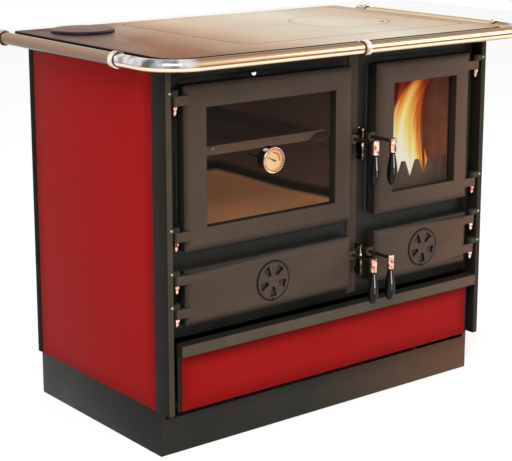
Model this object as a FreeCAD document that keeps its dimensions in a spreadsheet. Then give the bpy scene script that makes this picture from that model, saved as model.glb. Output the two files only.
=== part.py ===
import FreeCAD, Part
import math
import os
import re
import Sketcher

# A wood-fired cast iron range cooker. X runs across the front from left to right, Y to the rear
# and Z up. The origin is on the floor, at the middle of the cooker's width and depth.
# In the sizes below, depths are counted from the front edge of the front posts.

doc = FreeCAD.newDocument("range_cooker")
sheet = doc.addObject("Spreadsheet::Sheet", "sizes")

SIZES = {
    # Body
    "body_width": 914,
    "body_depth": 540,
    "hob_height": 850,
    "post_width": 14.5,
    "front_post_depth": 52,
    "rear_post_depth": 20,
    "panel_recess": 0.5,
    "panel_fold": 14,
    "panel_thickness": 1.5,
    "sheet_thickness": 2,
    # Plinth
    "plinth_height": 98,
    "plinth_setback": 35,
    "plinth_side_inset": 2,
    "plinth_rear_inset": 14,
    "plinth_wall": 3,
    "plinth_flange": 60,
    "shadow_height": 18,
    "shadow_depth": 12,
    "base_thickness": 3,
    # Hob
    "hob_thickness": 14,
    "hob_front_overhang": 48,
    "hob_side_overhang": 20,
    "hob_rear_overhang": 30,
    "hob_front_radius": 52,
    "hob_rear_radius": 10,
    "hob_lip": 10,
    "hob_lip_height": 5,
    "hotplate_left": 240,
    "hotplate_right": 20,
    "hotplate_front": 50,
    "hotplate_rear": 5,
    "hotplate_radius": 24,
    "hotplate_gap": 0.7,
    "ring_x": 238,
    "ring_y": 275,
    "ring_radius": 120,
    "ring_seat_width": 9,
    "ring_thickness": 5,
    "ring_gap": 0.6,
    "ring_notch_radius": 6,
    "ring_notch_offset": 72,
    # Flue
    "flue_x": 354,
    "flue_cover_rear": 67,
    "flue_cover_radius": 72,
    "flue_cover_height": 6,
    "flue_plug_radius": 56,
    "flue_plug_depth": 8,
    "flue_plug_gap": 0.6,
    "flue_box_width": 170,
    "flue_box_depth": 132,
    "flue_box_height": 196,
    "flue_wall": 4,
    "flue_gap": 5,
    "flue_inlet_inset": 12,
    "spigot_radius": 60,
    "spigot_wall": 3,
    "spigot_reach": 28,
    "spigot_drop": 118,
    "spigot_flange": 14,
    # Rail
    "rail_diameter": 27,
    "rail_wall": 1.5,
    "rail_drop": 11,
    "rail_front_standoff": 30,
    "rail_side_standoff": 34,
    "rail_bend_radius": 85,
    "rail_rear_gap": 2,
    "left_collar_y": 90,
    "right_collar_y": 28,
    "right_rail_end": 495,
    "rail_end_inset": 16,
    "collar_radius": 17.5,
    "collar_length": 14,
    "collar_gap": 0.2,
    "bracket_stem_radius": 6,
    "bracket_foot_radius": 6.5,
    "bracket_foot_thickness": 3,
    # Front frame
    "frame_setback": 32,
    "frame_thickness": 8,
    "door_side_gap": 33,
    "oven_door_width": 453,
    "fire_door_width": 295,
    "upper_door_drop": 49,
    "upper_door_height": 344,
    "door_step": 38,
    "lower_door_height": 120,
    "frame_sill": 31,
    # Oven and firebox
    "oven_width": 410,
    "oven_height": 280,
    "oven_rear_gap": 60,
    "fire_opening_width": 230,
    "lower_opening_height": 96,
    "lower_opening_rise": 11,
    "runner_width": 40,
    "runner_height": 8,
    "runner_rise": 144,
    "tray_height": 22,
    "tray_wall": 1.5,
    "tray_setback": 10,
    "tray_rear_gap": 20,
    "tray_gap": 30,
    "casing_wall": 4,
    "casing_rear_gap": 114,
    "casing_gap": 36,
    "brick_thickness": 41,
    "brick_height": 320,
    "brick_joint": 1,
    "brick_setback": 4,
    "brick_groove_width": 8,
    "brick_groove_depth": 4,
    "brick_groove_pitch": 26,
    "shelf_rise": 124,
    "shelf_thickness": 6,
    "grate_bearing": 12,
    "grate_thickness": 12,
    "grate_slot_width": 10,
    "grate_slot_pitch": 22,
    "grate_edge": 24,
    "guard_thickness": 8,
    "guard_setback": 2,
    "guard_valley": 62,
    "guard_peak": 106,
    "guard_pitch": 43.5,
    "guard_tip": 8,
    "ash_pan_width": 206,
    "ash_pan_rear_gap": 62,
    "ash_pan_height": 54,
    "ash_pan_setback": 4,
    # Doors
    "door_thickness": 28,
    "seat_gap": 0.3,
    "oven_window_side": 52.5,
    "fire_window_side": 48.5,
    "window_end": 47,
    "glass_lap": 15,
    "glass_thickness": 4,
    "glass_setback": 20,
    "glass_gap": 0.5,
    "clip_length": 36,
    "clip_seat": 10,
    "clip_lap": 12,
    "clip_thickness": 2.5,
    "clip_inset": 90,
    "seal_width": 8,
    "seal_depth": 6,
    "seal_inset": 8,
    "seal_gap": 0.2,
    "door_bevel": 14,
    "door_bevel_depth": 7,
    # Hinges
    "pin_x": 12.5,
    "pin_y": 8,
    "pin_radius": 4,
    "pin_clearance": 0.05,
    "lug_radius": 8,
    "lug_height": 20,
    "upper_door_top_lug": 19,
    "upper_door_low_lug": 25,
    "lower_door_top_lug": 8,
    "lower_door_low_lug": 21,
    "hinge_gap": 0.2,
    "knuckle_height": 12,
    "nut_radius": 6.5,
    "nut_height": 20,
    # Handles
    "spindle_offset": 25.5,
    "spindle_radius": 4,
    "upper_spindle_rise": 181,
    "lower_spindle_rise": 74,
    "spindle_reach": 60,
    "handle_lug_front": 8,
    "handle_lug_thickness": 12,
    "handle_lug_radius": 10,
    "tongue_thickness": 5,
    "tongue_height": 10,
    "tongue_gap": 1.2,
    "tongue_lug_gap": 1,
    "keeper_thickness": 5,
    "keeper_drop": 50,
    "keeper_rise": 20,
    "keeper_front": 10,
    "keeper_foot": 16,
    "keeper_foot_thickness": 2.5,
    "ferrule_radius": 7.5,
    "ferrule_height": 31,
    "ferrule_top": 7,
    "grip_length": 74,
    "grip_radius": 12,
    "grip_neck_radius": 6,
    "grip_tip_radius": 3.5,
    # Air rosettes
    "rosette_radius": 43.5,
    "rosette_recess_gap": 1.5,
    "rosette_recess_depth": 5,
    "rosette_thickness": 6,
    "rosette_seat_gap": 0.2,
    "rosette_inner": 14,
    "rosette_outer": 35,
    "rosette_slot_inner": 3.5,
    "rosette_slot_outer": 9.5,
    "rosette_count": 5,
    "rosette_stud_radius": 4,
    "rosette_tab_height": 3,
    "rosette_tab_width": 7,
    "rosette_tab_length": 5,
    "rosette_rest_turn": 54,
    "air_hole_radius": 8,
    "air_hole_circle": 25,
    # Thermometer
    "gauge_drop": 6.5,
    "gauge_radius": 28,
    "gauge_bezel": 2,
    "gauge_front": 3,
    "gauge_recess": 3,
    "gauge_stem_radius": 2.9,
    "gauge_stem_gap": 0.3,
    "gauge_stem_reach": 60,
    "gauge_nut_radius": 8,
    "gauge_nut_height": 4,
    "needle_length": 19,
    "needle_tail": 7,
    "needle_tail_half": 1.4,
    "needle_tip_half": 0.4,
    "needle_thickness": 0.8,
    "needle_hub_thickness": 1.2,
    "needle_hub_radius": 2.2,
    "needle_pivot_radius": 0.8,
    "needle_angle": 155,
    # Damper
    "damper_x": 231,
    "damper_drop": 53,
    "damper_rod_radius": 3,
    "damper_knob_radius": 7,
    "damper_knob_y": 8,
    "damper_rod_length": 120,
    "damper_plate_width": 90,
    "damper_plate_length": 80,
    "damper_plate_thickness": 3,
    # Wood drawer
    "drawer_side_gap": 37.5,
    "drawer_floor_gap": 3,
    "drawer_face_gap": 2,
    "drawer_rear_gap": 80,
    "drawer_rim_drop": 9,
    "drawer_face": 8,
    "drawer_face_thickness": 3,
    "drawer_face_side": 23.5,
    "drawer_backing_border": 8,
    "drawer_backing": 3,
    "ledge_side_gap": 10.5,
    "ledge_height": 25,
    "ledge_front": 13,
    "ledge_wall": 3,
    "ledge_gap": 2,
    "frame_gap": 3,
    "slide_width": 24,
    "slide_height": 20,
    "slide_front": 50,
    "slide_gap": 0.3,
}

for row, (alias, value) in enumerate(SIZES.items(), 1):
    sheet.set(f"A{row}", alias)
    sheet.set(f"B{row}", str(value))
    sheet.setAlias(f"B{row}", alias)
doc.recompute()

# Places worked out from the sizes, as text that the expressions below are put together from.
PLACES = {
    "side": "body_width / 2",
    "inner_side": "side - post_width",
    "hob_under": "hob_height - hob_thickness",
    "hob_rear": "body_depth + hob_rear_overhang",
    "rail_rear_end": "hob_rear - rail_rear_gap",
    "rail_front": "hob_front_overhang + rail_front_standoff",
    "front": "(rail_front + collar_radius - hob_rear) / 2",
    "rail_x": "side + hob_side_overhang + rail_side_standoff",
    "rail_z": "hob_height - rail_drop",
    "base_top": "plinth_height + base_thickness",
    "frame_rear": "frame_setback + frame_thickness",
    "oven_door_left": "door_side_gap - inner_side",
    "oven_door_right": "oven_door_left + oven_door_width",
    "fire_door_right": "inner_side - door_side_gap",
    "fire_door_left": "fire_door_right - fire_door_width",
    "oven_x": "oven_door_left + oven_door_width / 2",
    "fire_x": "fire_door_right - fire_door_width / 2",
    "stile_x": "(oven_door_right + fire_door_left) / 2",
    "upper_door_top": "hob_under - upper_door_drop",
    "upper_door_bottom": "upper_door_top - upper_door_height",
    "upper_door_middle": "upper_door_bottom + upper_door_height / 2",
    "lower_door_top": "upper_door_bottom - door_step",
    "lower_door_bottom": "lower_door_top - lower_door_height",
    "lower_door_middle": "lower_door_bottom + lower_door_height / 2",
    "lower_opening_bottom": "lower_door_bottom + lower_opening_rise",
    "lower_opening_top": "lower_opening_bottom + lower_opening_height",
    "oven_bottom": "upper_door_middle - oven_height / 2",
    "oven_top": "upper_door_middle + oven_height / 2",
    "oven_rear": "body_depth - oven_rear_gap",
    "shelf_bottom": "lower_opening_bottom + shelf_rise",
    "shelf_top": "shelf_bottom + shelf_thickness",
    "casing_half": "fire_opening_width / 2 + brick_thickness",
    "casing_rear": "body_depth - casing_rear_gap",
    "casing_top": "hob_under - casing_gap",
    "grate_top": "shelf_top + grate_thickness",
    "runner_top": "oven_bottom + runner_rise + runner_height",
    "flue_cover_y": "body_depth - flue_cover_rear",
    "flue_box_rear": "body_depth - sheet_thickness",
    "flue_box_front": "flue_box_rear - flue_box_depth",
    "flue_throat": "oven_top + sheet_thickness + flue_gap",
    "spigot_z": "hob_under - spigot_drop",
    "damper_z": "hob_height - damper_drop",
    "frame_bottom": "lower_door_bottom - frame_sill",
    "ledge_top": "frame_bottom - frame_gap",
    "ledge_bottom": "ledge_top - ledge_height",
    "drawer_face_top": "ledge_bottom - ledge_gap",
    "drawer_top": "drawer_face_top - drawer_rim_drop",
    "drawer_bottom": "base_top + drawer_floor_gap",
    "drawer_face_bottom": "plinth_height + drawer_face_gap",
    "drawer_rear": "drawer_face + drawer_face_thickness + drawer_backing",
    "drawer_half": "inner_side - drawer_side_gap",
    "seat": "frame_setback - seat_gap",
    "hinge_x": "inner_side - pin_x",
    "hotplate_x0": "hotplate_left - side",
    "hotplate_x1": "side - hotplate_right",
    "hotplate_y1": "body_depth - hotplate_rear",
    "hotplate_bottom": "hob_under + hob_lip_height",
    "upper_spindle_z": "upper_door_bottom + upper_spindle_rise",
    "lower_spindle_z": "lower_door_bottom + lower_spindle_rise",
    "gauge_z": "upper_door_middle - gauge_drop",
}

FUNCTIONS = ("sin", "cos", "floor")
OVER = "1"


def ex(text):
    """The text as an expression over the sheet's cells."""

    def swap(found):
        word = found.group(0)
        if word in FUNCTIONS:
            return word
        if word in PLACES:
            return "(" + ex(PLACES[word]) + ")"
        return "sizes." + word

    return re.sub(r"[A-Za-z_][A-Za-z_0-9]*", swap, text)


def bind(obj, path, text):
    obj.setExpression(path, ex(text))


def box(name, x, y, z):
    """A block between two places along each axis."""
    block = doc.addObject("Part::Box", name)
    for side, axis, (low, high) in (("Length", "x", x), ("Width", "y", y), ("Height", "z", z)):
        bind(block, side, f"({high}) - ({low})")
        bind(block, f"Placement.Base.{axis}", low)
    return block


TURNS = {
    "x": FreeCAD.Rotation(FreeCAD.Vector(0, 1, 0), 90),
    "y": FreeCAD.Rotation(FreeCAD.Vector(1, 0, 0), -90),
    "z": FreeCAD.Rotation(),
}


def rod(name, axis, centre, span, radius):
    """A round bar along an axis. The centre is its two other coordinates; the span is its two ends."""
    bar = doc.addObject("Part::Cylinder", name)
    bar.Placement = FreeCAD.Placement(FreeCAD.Vector(), TURNS[axis])
    bind(bar, "Radius", radius)
    bind(bar, "Height", f"({span[1]}) - ({span[0]})")
    places = dict(zip([a for a in "xyz" if a != axis], centre))
    places[axis] = span[0]
    for name_of_axis, place in places.items():
        bind(bar, f"Placement.Base.{name_of_axis}", place)
    return bar


def fuse(name, *pieces):
    joined = doc.addObject("Part::MultiFuse", name)
    joined.Shapes = list(pieces)
    joined.Refine = True
    return joined


def cut(name, base, *tools):
    """The base with every tool taken out of it."""
    taken = tools[0] if len(tools) == 1 else fuse(f"{name}_hollows", *tools)
    left = doc.addObject("Part::Cut", name)
    left.Base = base
    left.Tool = taken
    left.Refine = True
    return left


def rounded_plate(name, x, y, z, front_radius, rear_radius):
    """A flat plate with rounded corners, of one radius at the front and one at the rear."""
    pieces = [box(f"{name}_middle", x, (f"{y[0]} + {front_radius}", f"{y[1]} - {rear_radius}"), z)]
    for end, radius, strip, centre in (
        ("front", front_radius, (y[0], f"{y[0]} + {front_radius}"), f"{y[0]} + {front_radius}"),
        ("rear", rear_radius, (f"{y[1]} - {rear_radius}", y[1]), f"{y[1]} - {rear_radius}"),
    ):
        left = f"{x[0]} + {radius}"
        right = f"{x[1]} - {radius}"
        pieces.append(box(f"{name}_{end}", (left, right), strip, z))
        pieces.append(rod(f"{name}_{end}_left", "z", (left, centre), z, radius))
        pieces.append(rod(f"{name}_{end}_right", "z", (right, centre), z, radius))
    return fuse(name, *pieces)


def group(name, *pieces):
    """Separate pieces of one kind, kept together."""
    together = doc.addObject("Part::Compound", name)
    together.Links = list(pieces)
    return together


nodes = []


def node(label, obj):
    """Puts a finished piece in its place in the cooker and names it."""
    bound = {path.lstrip("."): text for path, text in obj.ExpressionEngine}
    depth = bound.get("Placement.Base.y", "0")
    obj.setExpression("Placement.Base.y", f"{ex('front')} + ({depth})")
    obj.Label = label
    nodes.append(obj)
    return obj


# Sketched pieces. A sketch on the front plane has X across and Z up, one on the floor plane X and Y.

PLANES = {"floor": "XY_Plane", "front": "XZ_Plane", "side": "YZ_Plane"}


def part_body(name, x="0", y="0", z="0"):
    body = doc.addObject("PartDesign::Body", name)
    for axis, place in (("x", x), ("y", y), ("z", z)):
        bind(body, f"Placement.Base.{axis}", place)
    return body


def sketch_on(body, name, plane, offset="0"):
    sketch = body.newObject("Sketcher::SketchObject", name)
    role = PLANES[plane]
    support = next(item for item in body.Origin.OriginFeatures if item.Role == role)
    sketch.AttachmentSupport = [(support, "")]
    sketch.MapMode = "FlatFace"
    bind(sketch, "AttachmentOffset.Base.z", offset)
    return sketch


def locate(sketch, element, point, x, y, tag):
    """Ties one point of a sketch to its two distances from the sketch's origin."""
    for kind, place, name in (("DistanceX", x, f"{tag}_x"), ("DistanceY", y, f"{tag}_y")):
        number = sketch.addConstraint(Sketcher.Constraint(kind, -1, 1, element, point, 1.0))
        sketch.renameConstraint(number, name)
        bind(sketch, f"Constraints.{name}", place)


def circle(sketch, x, y, radius):
    element = sketch.addGeometry(Part.Circle(FreeCAD.Vector(1, 1, 0), FreeCAD.Vector(0, 0, 1), 1))
    locate(sketch, element, 3, x, y, f"centre{element}")
    number = sketch.addConstraint(Sketcher.Constraint("Radius", element, 1.0))
    sketch.renameConstraint(number, f"radius{element}")
    bind(sketch, f"Constraints.radius{element}", radius)


def polygon(sketch, corners):
    """A closed outline of straight edges through the corners."""
    first = sketch.GeometryCount
    count = len(corners)
    turn = 2 * math.pi / count
    rough = [FreeCAD.Vector(math.cos(turn * i), math.sin(turn * i), 0) for i in range(count)]
    for i in range(count):
        sketch.addGeometry(Part.LineSegment(rough[i], rough[(i + 1) % count]))
    for i, (x, y) in enumerate(corners):
        after = first + (i + 1) % count
        sketch.addConstraint(Sketcher.Constraint("Coincident", first + i, 2, after, 1))
        locate(sketch, first + i, 1, x, y, f"corner{first + i}")


def pad(body, sketch, length, reverse=False):
    feature = body.newObject("PartDesign::Pad", f"{sketch.Name}_pad")
    feature.Profile = sketch
    feature.Reversed = reverse
    bind(feature, "Length", length)
    return feature


def pocket(body, sketch, length, reverse=False):
    feature = body.newObject("PartDesign::Pocket", f"{sketch.Name}_pocket")
    feature.Profile = sketch
    feature.Reversed = reverse
    bind(feature, "Length", length)
    return feature


def revolve(body, sketch, axis="V_Axis"):
    feature = body.newObject("PartDesign::Revolution", f"{sketch.Name}_turned")
    feature.Profile = sketch
    feature.ReferenceAxis = (sketch, [axis])
    feature.Angle = 360
    return feature


def repeat(body, name, feature, sketch, pitch, count):
    """Copies of a feature in a row along its sketch's X."""
    row = body.newObject("PartDesign::LinearPattern", name)
    row.Originals = [feature]
    row.Direction = (sketch, ["H_Axis"])
    bind(row, "Length", f"{pitch} * ({count} - 1)")
    bind(row, "Occurrences", count)
    body.Tip = row
    return row


LEFT = "-1"
RIGHT = "1"
SIDES = (("left", LEFT), ("right", RIGHT))


def across(sign, near, far):
    """The two places of a block that lies between two distances from the middle, on one side."""
    return (f"-({far})", f"-({near})") if sign == LEFT else (near, far)


# Plinth: a folded steel box, open underneath, with a shadow gap along its front edge.
plinth_x = "side - plinth_side_inset"
plinth_y1 = "body_depth - plinth_rear_inset"
node("plinth", cut(
    "plinth",
    box("plinth_outer", (f"-({plinth_x})", plinth_x), ("plinth_setback", plinth_y1), ("0", "plinth_height")),
    box("plinth_inner",
        (f"plinth_wall - ({plinth_x})", f"{plinth_x} - plinth_wall"),
        ("plinth_setback + plinth_wall", f"{plinth_y1} - plinth_wall"),
        (f"-{OVER}", "plinth_height - plinth_wall")),
    box("plinth_top_opening",
        (f"plinth_flange - ({plinth_x})", f"{plinth_x} - plinth_flange"),
        ("plinth_setback + plinth_flange", f"{plinth_y1} - plinth_flange"),
        (f"plinth_height - plinth_wall - {OVER}", f"plinth_height + {OVER}")),
    box("plinth_shadow_gap",
        ("-inner_side", "inner_side"),
        (f"plinth_setback - {OVER}", "plinth_setback + shadow_depth"),
        ("plinth_height - shadow_height", f"plinth_height + {OVER}")),
))

node("base_plate", box(
    "base_plate",
    ("-inner_side", "inner_side"),
    ("plinth_setback + shadow_depth", plinth_y1),
    ("plinth_height", "base_top"),
))

# Posts and side panels.
for name, sign in SIDES:
    node(f"front_post_{name}", box(
        f"front_post_{name}",
        across(sign, "inner_side", "side"), ("0", "front_post_depth"), ("plinth_height", "hob_under")))
    node(f"rear_post_{name}", box(
        f"rear_post_{name}",
        across(sign, "inner_side", "side"),
        ("body_depth - rear_post_depth", "body_depth"), ("plinth_height", "hob_under")))
    node(f"side_panel_{name}", cut(
        f"side_panel_{name}",
        box(f"panel_{name}_outer",
            across(sign, "side - panel_recess - panel_fold", "side - panel_recess"),
            ("front_post_depth", "body_depth - rear_post_depth"), ("plinth_height", "hob_under")),
        box(f"panel_{name}_inner",
            across(sign, f"side - panel_recess - panel_fold - {OVER}",
                   "side - panel_recess - panel_thickness"),
            ("front_post_depth + panel_thickness", "body_depth - rear_post_depth - panel_thickness"),
            ("plinth_height + panel_thickness", "hob_under - panel_thickness")),
    ))

# Back panel with the flue outlet.
node("back_panel", cut(
    "back_panel",
    box("back_sheet", ("-inner_side", "inner_side"), ("body_depth - sheet_thickness", "body_depth"),
        ("base_top", "hob_under")),
    rod("back_hole", "y", ("-flue_x", "spigot_z"),
        (f"body_depth - sheet_thickness - {OVER}", f"body_depth + {OVER}"), "spigot_radius + seat_gap"),
))

spigot = part_body("flue_spigot", x="-flue_x", y="body_depth", z="spigot_z")
spigot_profile = sketch_on(spigot, "spigot_profile", "floor")
polygon(spigot_profile, [
    ("spigot_radius - spigot_wall", "-(sheet_thickness + flue_wall)"),
    ("spigot_radius", "-(sheet_thickness + flue_wall)"),
    ("spigot_radius", "0"),
    ("spigot_radius + spigot_flange", "0"),
    ("spigot_radius + spigot_flange", "spigot_wall"),
    ("spigot_radius", "spigot_wall"),
    ("spigot_radius", "spigot_reach"),
    ("spigot_radius - spigot_wall", "spigot_reach"),
])
revolve(spigot, spigot_profile)
node("flue_spigot", spigot)

# Flue box: it stands behind the oven and comes forward over the oven's top.
flue_half = "flue_box_width / 2"
flue_sides = (f"-flue_x - {flue_half}", f"{flue_half} - flue_x")
flue_inside = (f"{flue_sides[0]} + flue_wall", f"{flue_sides[1]} - flue_wall")
flue_foot = "hob_under - flue_box_height"
node("flue_box", cut(
    "flue_box",
    fuse("flue_box_outer",
         box("flue_box_over", flue_sides, ("flue_box_front", "flue_box_rear"), ("flue_throat", "hob_under")),
         box("flue_box_behind", flue_sides, ("oven_rear + flue_gap", "flue_box_rear"), (flue_foot, "hob_under"))),
    box("flue_space_over", flue_inside, ("flue_box_front + flue_wall", "flue_box_rear - flue_wall"),
        ("flue_throat + flue_wall", "hob_under - flue_wall")),
    box("flue_space_behind", flue_inside,
        ("oven_rear + flue_gap + flue_wall", "flue_box_rear - flue_wall"),
        (f"{flue_foot} + flue_wall", "hob_under - flue_wall")),
    rod("flue_box_top_hole", "z", ("-flue_x", "flue_cover_y"),
        (f"hob_under - flue_wall - {OVER}", f"hob_under + {OVER}"), "flue_plug_radius + flue_plug_gap"),
    rod("flue_box_rear_hole", "y", ("-flue_x", "spigot_z"),
        (f"flue_box_rear - flue_wall - {OVER}", f"body_depth + {OVER}"), "spigot_radius + seat_gap"),
    box("flue_box_inlet",
        (f"{flue_sides[0]} + flue_inlet_inset", f"{flue_sides[1]} - flue_inlet_inset"),
        (f"flue_box_front - {OVER}", f"flue_box_front + flue_wall + {OVER}"),
        ("flue_throat + 2 * flue_wall", "hob_under - 2 * flue_wall")),
))

# Front frame: the casting that the doors close on.
frame_y = (f"frame_setback - {OVER}", f"frame_rear + {OVER}")
node("front_frame", cut(
    "front_frame",
    box("frame_plate", ("-inner_side", "inner_side"), ("frame_setback", "frame_rear"),
        ("frame_bottom", "hob_under")),
    box("frame_oven", ("oven_x - oven_width / 2", "oven_x + oven_width / 2"), frame_y,
        ("oven_bottom", "oven_top")),
    box("frame_fire", ("fire_x - fire_opening_width / 2", "fire_x + fire_opening_width / 2"), frame_y,
        ("oven_bottom", "oven_top")),
    box("frame_under_oven", ("oven_x - oven_width / 2", "oven_x + oven_width / 2"), frame_y,
        ("lower_opening_bottom", "lower_opening_top")),
    box("frame_ash", ("fire_x - fire_opening_width / 2", "fire_x + fire_opening_width / 2"), frame_y,
        ("lower_opening_bottom", "lower_opening_top")),
    rod("frame_damper", "y", ("-damper_x", "damper_z"), frame_y, "damper_rod_radius + pin_clearance"),
))

# Hob: a cast surround, a lift-out hotplate in it and a round lid in the hotplate.
plate_z = ("hob_under", "hob_height")
hob_half = "side + hob_side_overhang"
seat_z = ("hotplate_bottom", f"hob_height + {OVER}")
node("hob_surround", cut(
    "hob_surround",
    rounded_plate("hob_plate", (f"-({hob_half})", hob_half), ("-hob_front_overhang", "hob_rear"), plate_z,
                  "hob_front_radius", "hob_rear_radius"),
    rounded_plate("hob_opening", ("hotplate_x0 + hob_lip", "hotplate_x1 - hob_lip"),
                  ("hotplate_front + hob_lip", "hotplate_y1 - hob_lip"),
                  (f"hob_under - {OVER}", f"hob_height + {OVER}"),
                  "(hotplate_radius - hob_lip)", "(hotplate_radius - hob_lip)"),
    rounded_plate("hob_seat", ("hotplate_x0", "hotplate_x1"), ("hotplate_front", "hotplate_y1"), seat_z,
                  "hotplate_radius", "hotplate_radius"),
    rod("hob_flue_hole", "z", ("-flue_x", "flue_cover_y"), (f"hob_under - {OVER}", f"hob_height + {OVER}"),
        "flue_plug_radius + flue_plug_gap"),
))
node("hotplate", cut(
    "hotplate",
    rounded_plate("hotplate_plate", ("hotplate_x0 + hotplate_gap", "hotplate_x1 - hotplate_gap"),
                  ("hotplate_front + hotplate_gap", "hotplate_y1 - hotplate_gap"),
                  ("hotplate_bottom", "hob_height"),
                  "(hotplate_radius - hotplate_gap)", "(hotplate_radius - hotplate_gap)"),
    rod("lid_opening", "z", ("ring_x", "ring_y"), (f"hotplate_bottom - {OVER}", f"hob_height + {OVER}"),
        "ring_radius - ring_seat_width"),
    rod("lid_seat", "z", ("ring_x", "ring_y"), ("hob_height - ring_thickness", f"hob_height + {OVER}"),
        "ring_radius"),
))

lid = part_body("hotplate_lid", x="ring_x", y="ring_y", z="hob_height - ring_thickness")
lid_outline = sketch_on(lid, "lid_outline", "floor")
circle(lid_outline, "0", "0", "ring_radius - ring_gap")
pad(lid, lid_outline, "ring_thickness")
lid_notch = sketch_on(lid, "lid_notch", "floor", "ring_thickness")
circle(lid_notch, "ring_notch_offset", "-ring_notch_offset", "ring_notch_radius")
pocket(lid, lid_notch, "ring_thickness / 2")
node("hotplate_lid", lid)

cover = part_body("flue_cover", x="-flue_x", y="flue_cover_y", z="hob_height")
cover_profile = sketch_on(cover, "cover_profile", "front")
polygon(cover_profile, [
    ("0", "-flue_plug_depth"),
    ("flue_plug_radius", "-flue_plug_depth"),
    ("flue_plug_radius", "0"),
    ("flue_cover_radius", "0"),
    ("flue_cover_radius", "flue_cover_height / 2"),
    ("flue_cover_radius - flue_cover_height / 2", "flue_cover_height"),
    ("0", "flue_cover_height"),
])
revolve(cover, cover_profile)
node("flue_cover", cover)

# Towel rail: a front tube with a bend at each corner, a straight tube on each side, and the
# brackets that hold them off the edge of the hob.
tube = "rail_diameter / 2"
BENDS = ((LEFT, 180, "left_collar_y"), (RIGHT, 270, "right_collar_y"))


def rail_run(name, radius, over):
    """The front rail's route, filled to one radius, with a little more length at both ends."""
    bend_y = "rail_bend_radius - rail_front"
    straight = "rail_x - rail_bend_radius"
    pieces = [rod(f"{name}_front", "x", ("-rail_front", "rail_z"), (f"-({straight})", straight), radius)]
    for sign, turn, end in BENDS:
        bend = doc.addObject("Part::Torus", f"{name}_bend_{turn}")
        bend.Placement = FreeCAD.Placement(
            FreeCAD.Vector(), FreeCAD.Rotation(FreeCAD.Vector(0, 0, 1), turn))
        bend.Angle3 = 90
        bind(bend, "Radius1", "rail_bend_radius")
        bind(bend, "Radius2", radius)
        for axis, place in (("x", f"{sign} * ({straight})"), ("y", bend_y), ("z", "rail_z")):
            bind(bend, f"Placement.Base.{axis}", place)
        pieces.append(bend)
        pieces.append(rod(f"{name}_side_{turn}", "y", (f"{sign} * rail_x", "rail_z"),
                          (bend_y, f"{end} + {over}"), radius))
    return fuse(name, *pieces)


node("rail_front", cut(
    "rail_front",
    rail_run("rail_front_outer", tube, "0"),
    rail_run("rail_front_bore", f"({tube} - rail_wall)", OVER),
))

rail_ends = {LEFT: ("left_collar_y", "rail_rear_end"), RIGHT: ("right_collar_y", "right_rail_end")}
for name, sign in SIDES:
    start, end = rail_ends[sign]
    x = f"{sign} * rail_x"
    node(f"rail_{name}", cut(
        f"rail_{name}",
        rod(f"rail_{name}_outer", "y", (x, "rail_z"), (start, end), tube),
        rod(f"rail_{name}_bore", "y", (x, "rail_z"), (f"{start} - {OVER}", f"{end} - rail_wall"),
            f"{tube} - rail_wall"),
    ))


def side_bracket(name, sign, y):
    """A collar round a side tube, and its stem and foot on the edge of the hob."""
    edge = "side + hob_side_overhang"
    x = f"{sign} * rail_x"
    solid = fuse(
        f"{name}_solid",
        rod(f"{name}_collar", "y", (x, "rail_z"), (f"{y} - collar_length / 2", f"{y} + collar_length / 2"),
            "collar_radius"),
        rod(f"{name}_stem", "x", (y, "rail_z"), across(sign, edge, "rail_x"), "bracket_stem_radius"),
        rod(f"{name}_foot", "x", (y, "rail_z"), across(sign, edge, f"{edge} + bracket_foot_thickness"),
            "bracket_foot_radius"),
    )
    return cut(name, solid, rod(
        f"{name}_bore", "y", (x, "rail_z"),
        (f"{y} - collar_length / 2 - {OVER}", f"{y} + collar_length / 2 + {OVER}"), f"{tube} + collar_gap"))


def front_bracket(name):
    """The same bracket at the middle of the front tube."""
    half = "collar_length / 2"
    solid = fuse(
        f"{name}_solid",
        rod(f"{name}_collar", "x", ("-rail_front", "rail_z"), (f"-{half}", half), "collar_radius"),
        rod(f"{name}_stem", "y", ("0", "rail_z"), ("-rail_front", "-hob_front_overhang"),
            "bracket_stem_radius"),
        rod(f"{name}_foot", "y", ("0", "rail_z"),
            ("-hob_front_overhang - bracket_foot_thickness", "-hob_front_overhang"), "bracket_foot_radius"),
    )
    return cut(name, solid, rod(
        f"{name}_bore", "x", ("-rail_front", "rail_z"), (f"-{half} - {OVER}", f"{half} + {OVER}"),
        f"{tube} + collar_gap"))


node("rail_brackets", group(
    "rail_brackets",
    side_bracket("bracket_left", LEFT, "left_collar_y"),
    side_bracket("bracket_right", RIGHT, "right_collar_y"),
    side_bracket("bracket_rear_left", LEFT, "(rail_rear_end - rail_end_inset)"),
    side_bracket("bracket_rear_right", RIGHT, "(right_rail_end - rail_end_inset)"),
    front_bracket("bracket_front"),
))

# Oven: a steel box with a shelf runner on each wall, and the tray that stands on the runners.
oven_half = "oven_width / 2"
oven_y = ("frame_rear", "oven_rear")
oven_shell = cut(
    "oven_shell",
    box("oven_outer",
        (f"oven_x - {oven_half} - sheet_thickness", f"oven_x + {oven_half} + sheet_thickness"), oven_y,
        ("oven_bottom - sheet_thickness", "oven_top + sheet_thickness")),
    box("oven_inner", (f"oven_x - {oven_half}", f"oven_x + {oven_half}"),
        (f"frame_rear - {OVER}", "oven_rear - sheet_thickness"), ("oven_bottom", "oven_top")),
)
runner_z = ("runner_top - runner_height", "runner_top")
node("oven_box", fuse(
    "oven_box",
    oven_shell,
    box("runner_left", (f"oven_x - {oven_half}", f"oven_x - {oven_half} + runner_width"),
        ("frame_rear + tray_setback", "oven_rear - sheet_thickness"), runner_z),
    box("runner_right", (f"oven_x + {oven_half} - runner_width", f"oven_x + {oven_half}"),
        ("frame_rear + tray_setback", "oven_rear - sheet_thickness"), runner_z),
))

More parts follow.
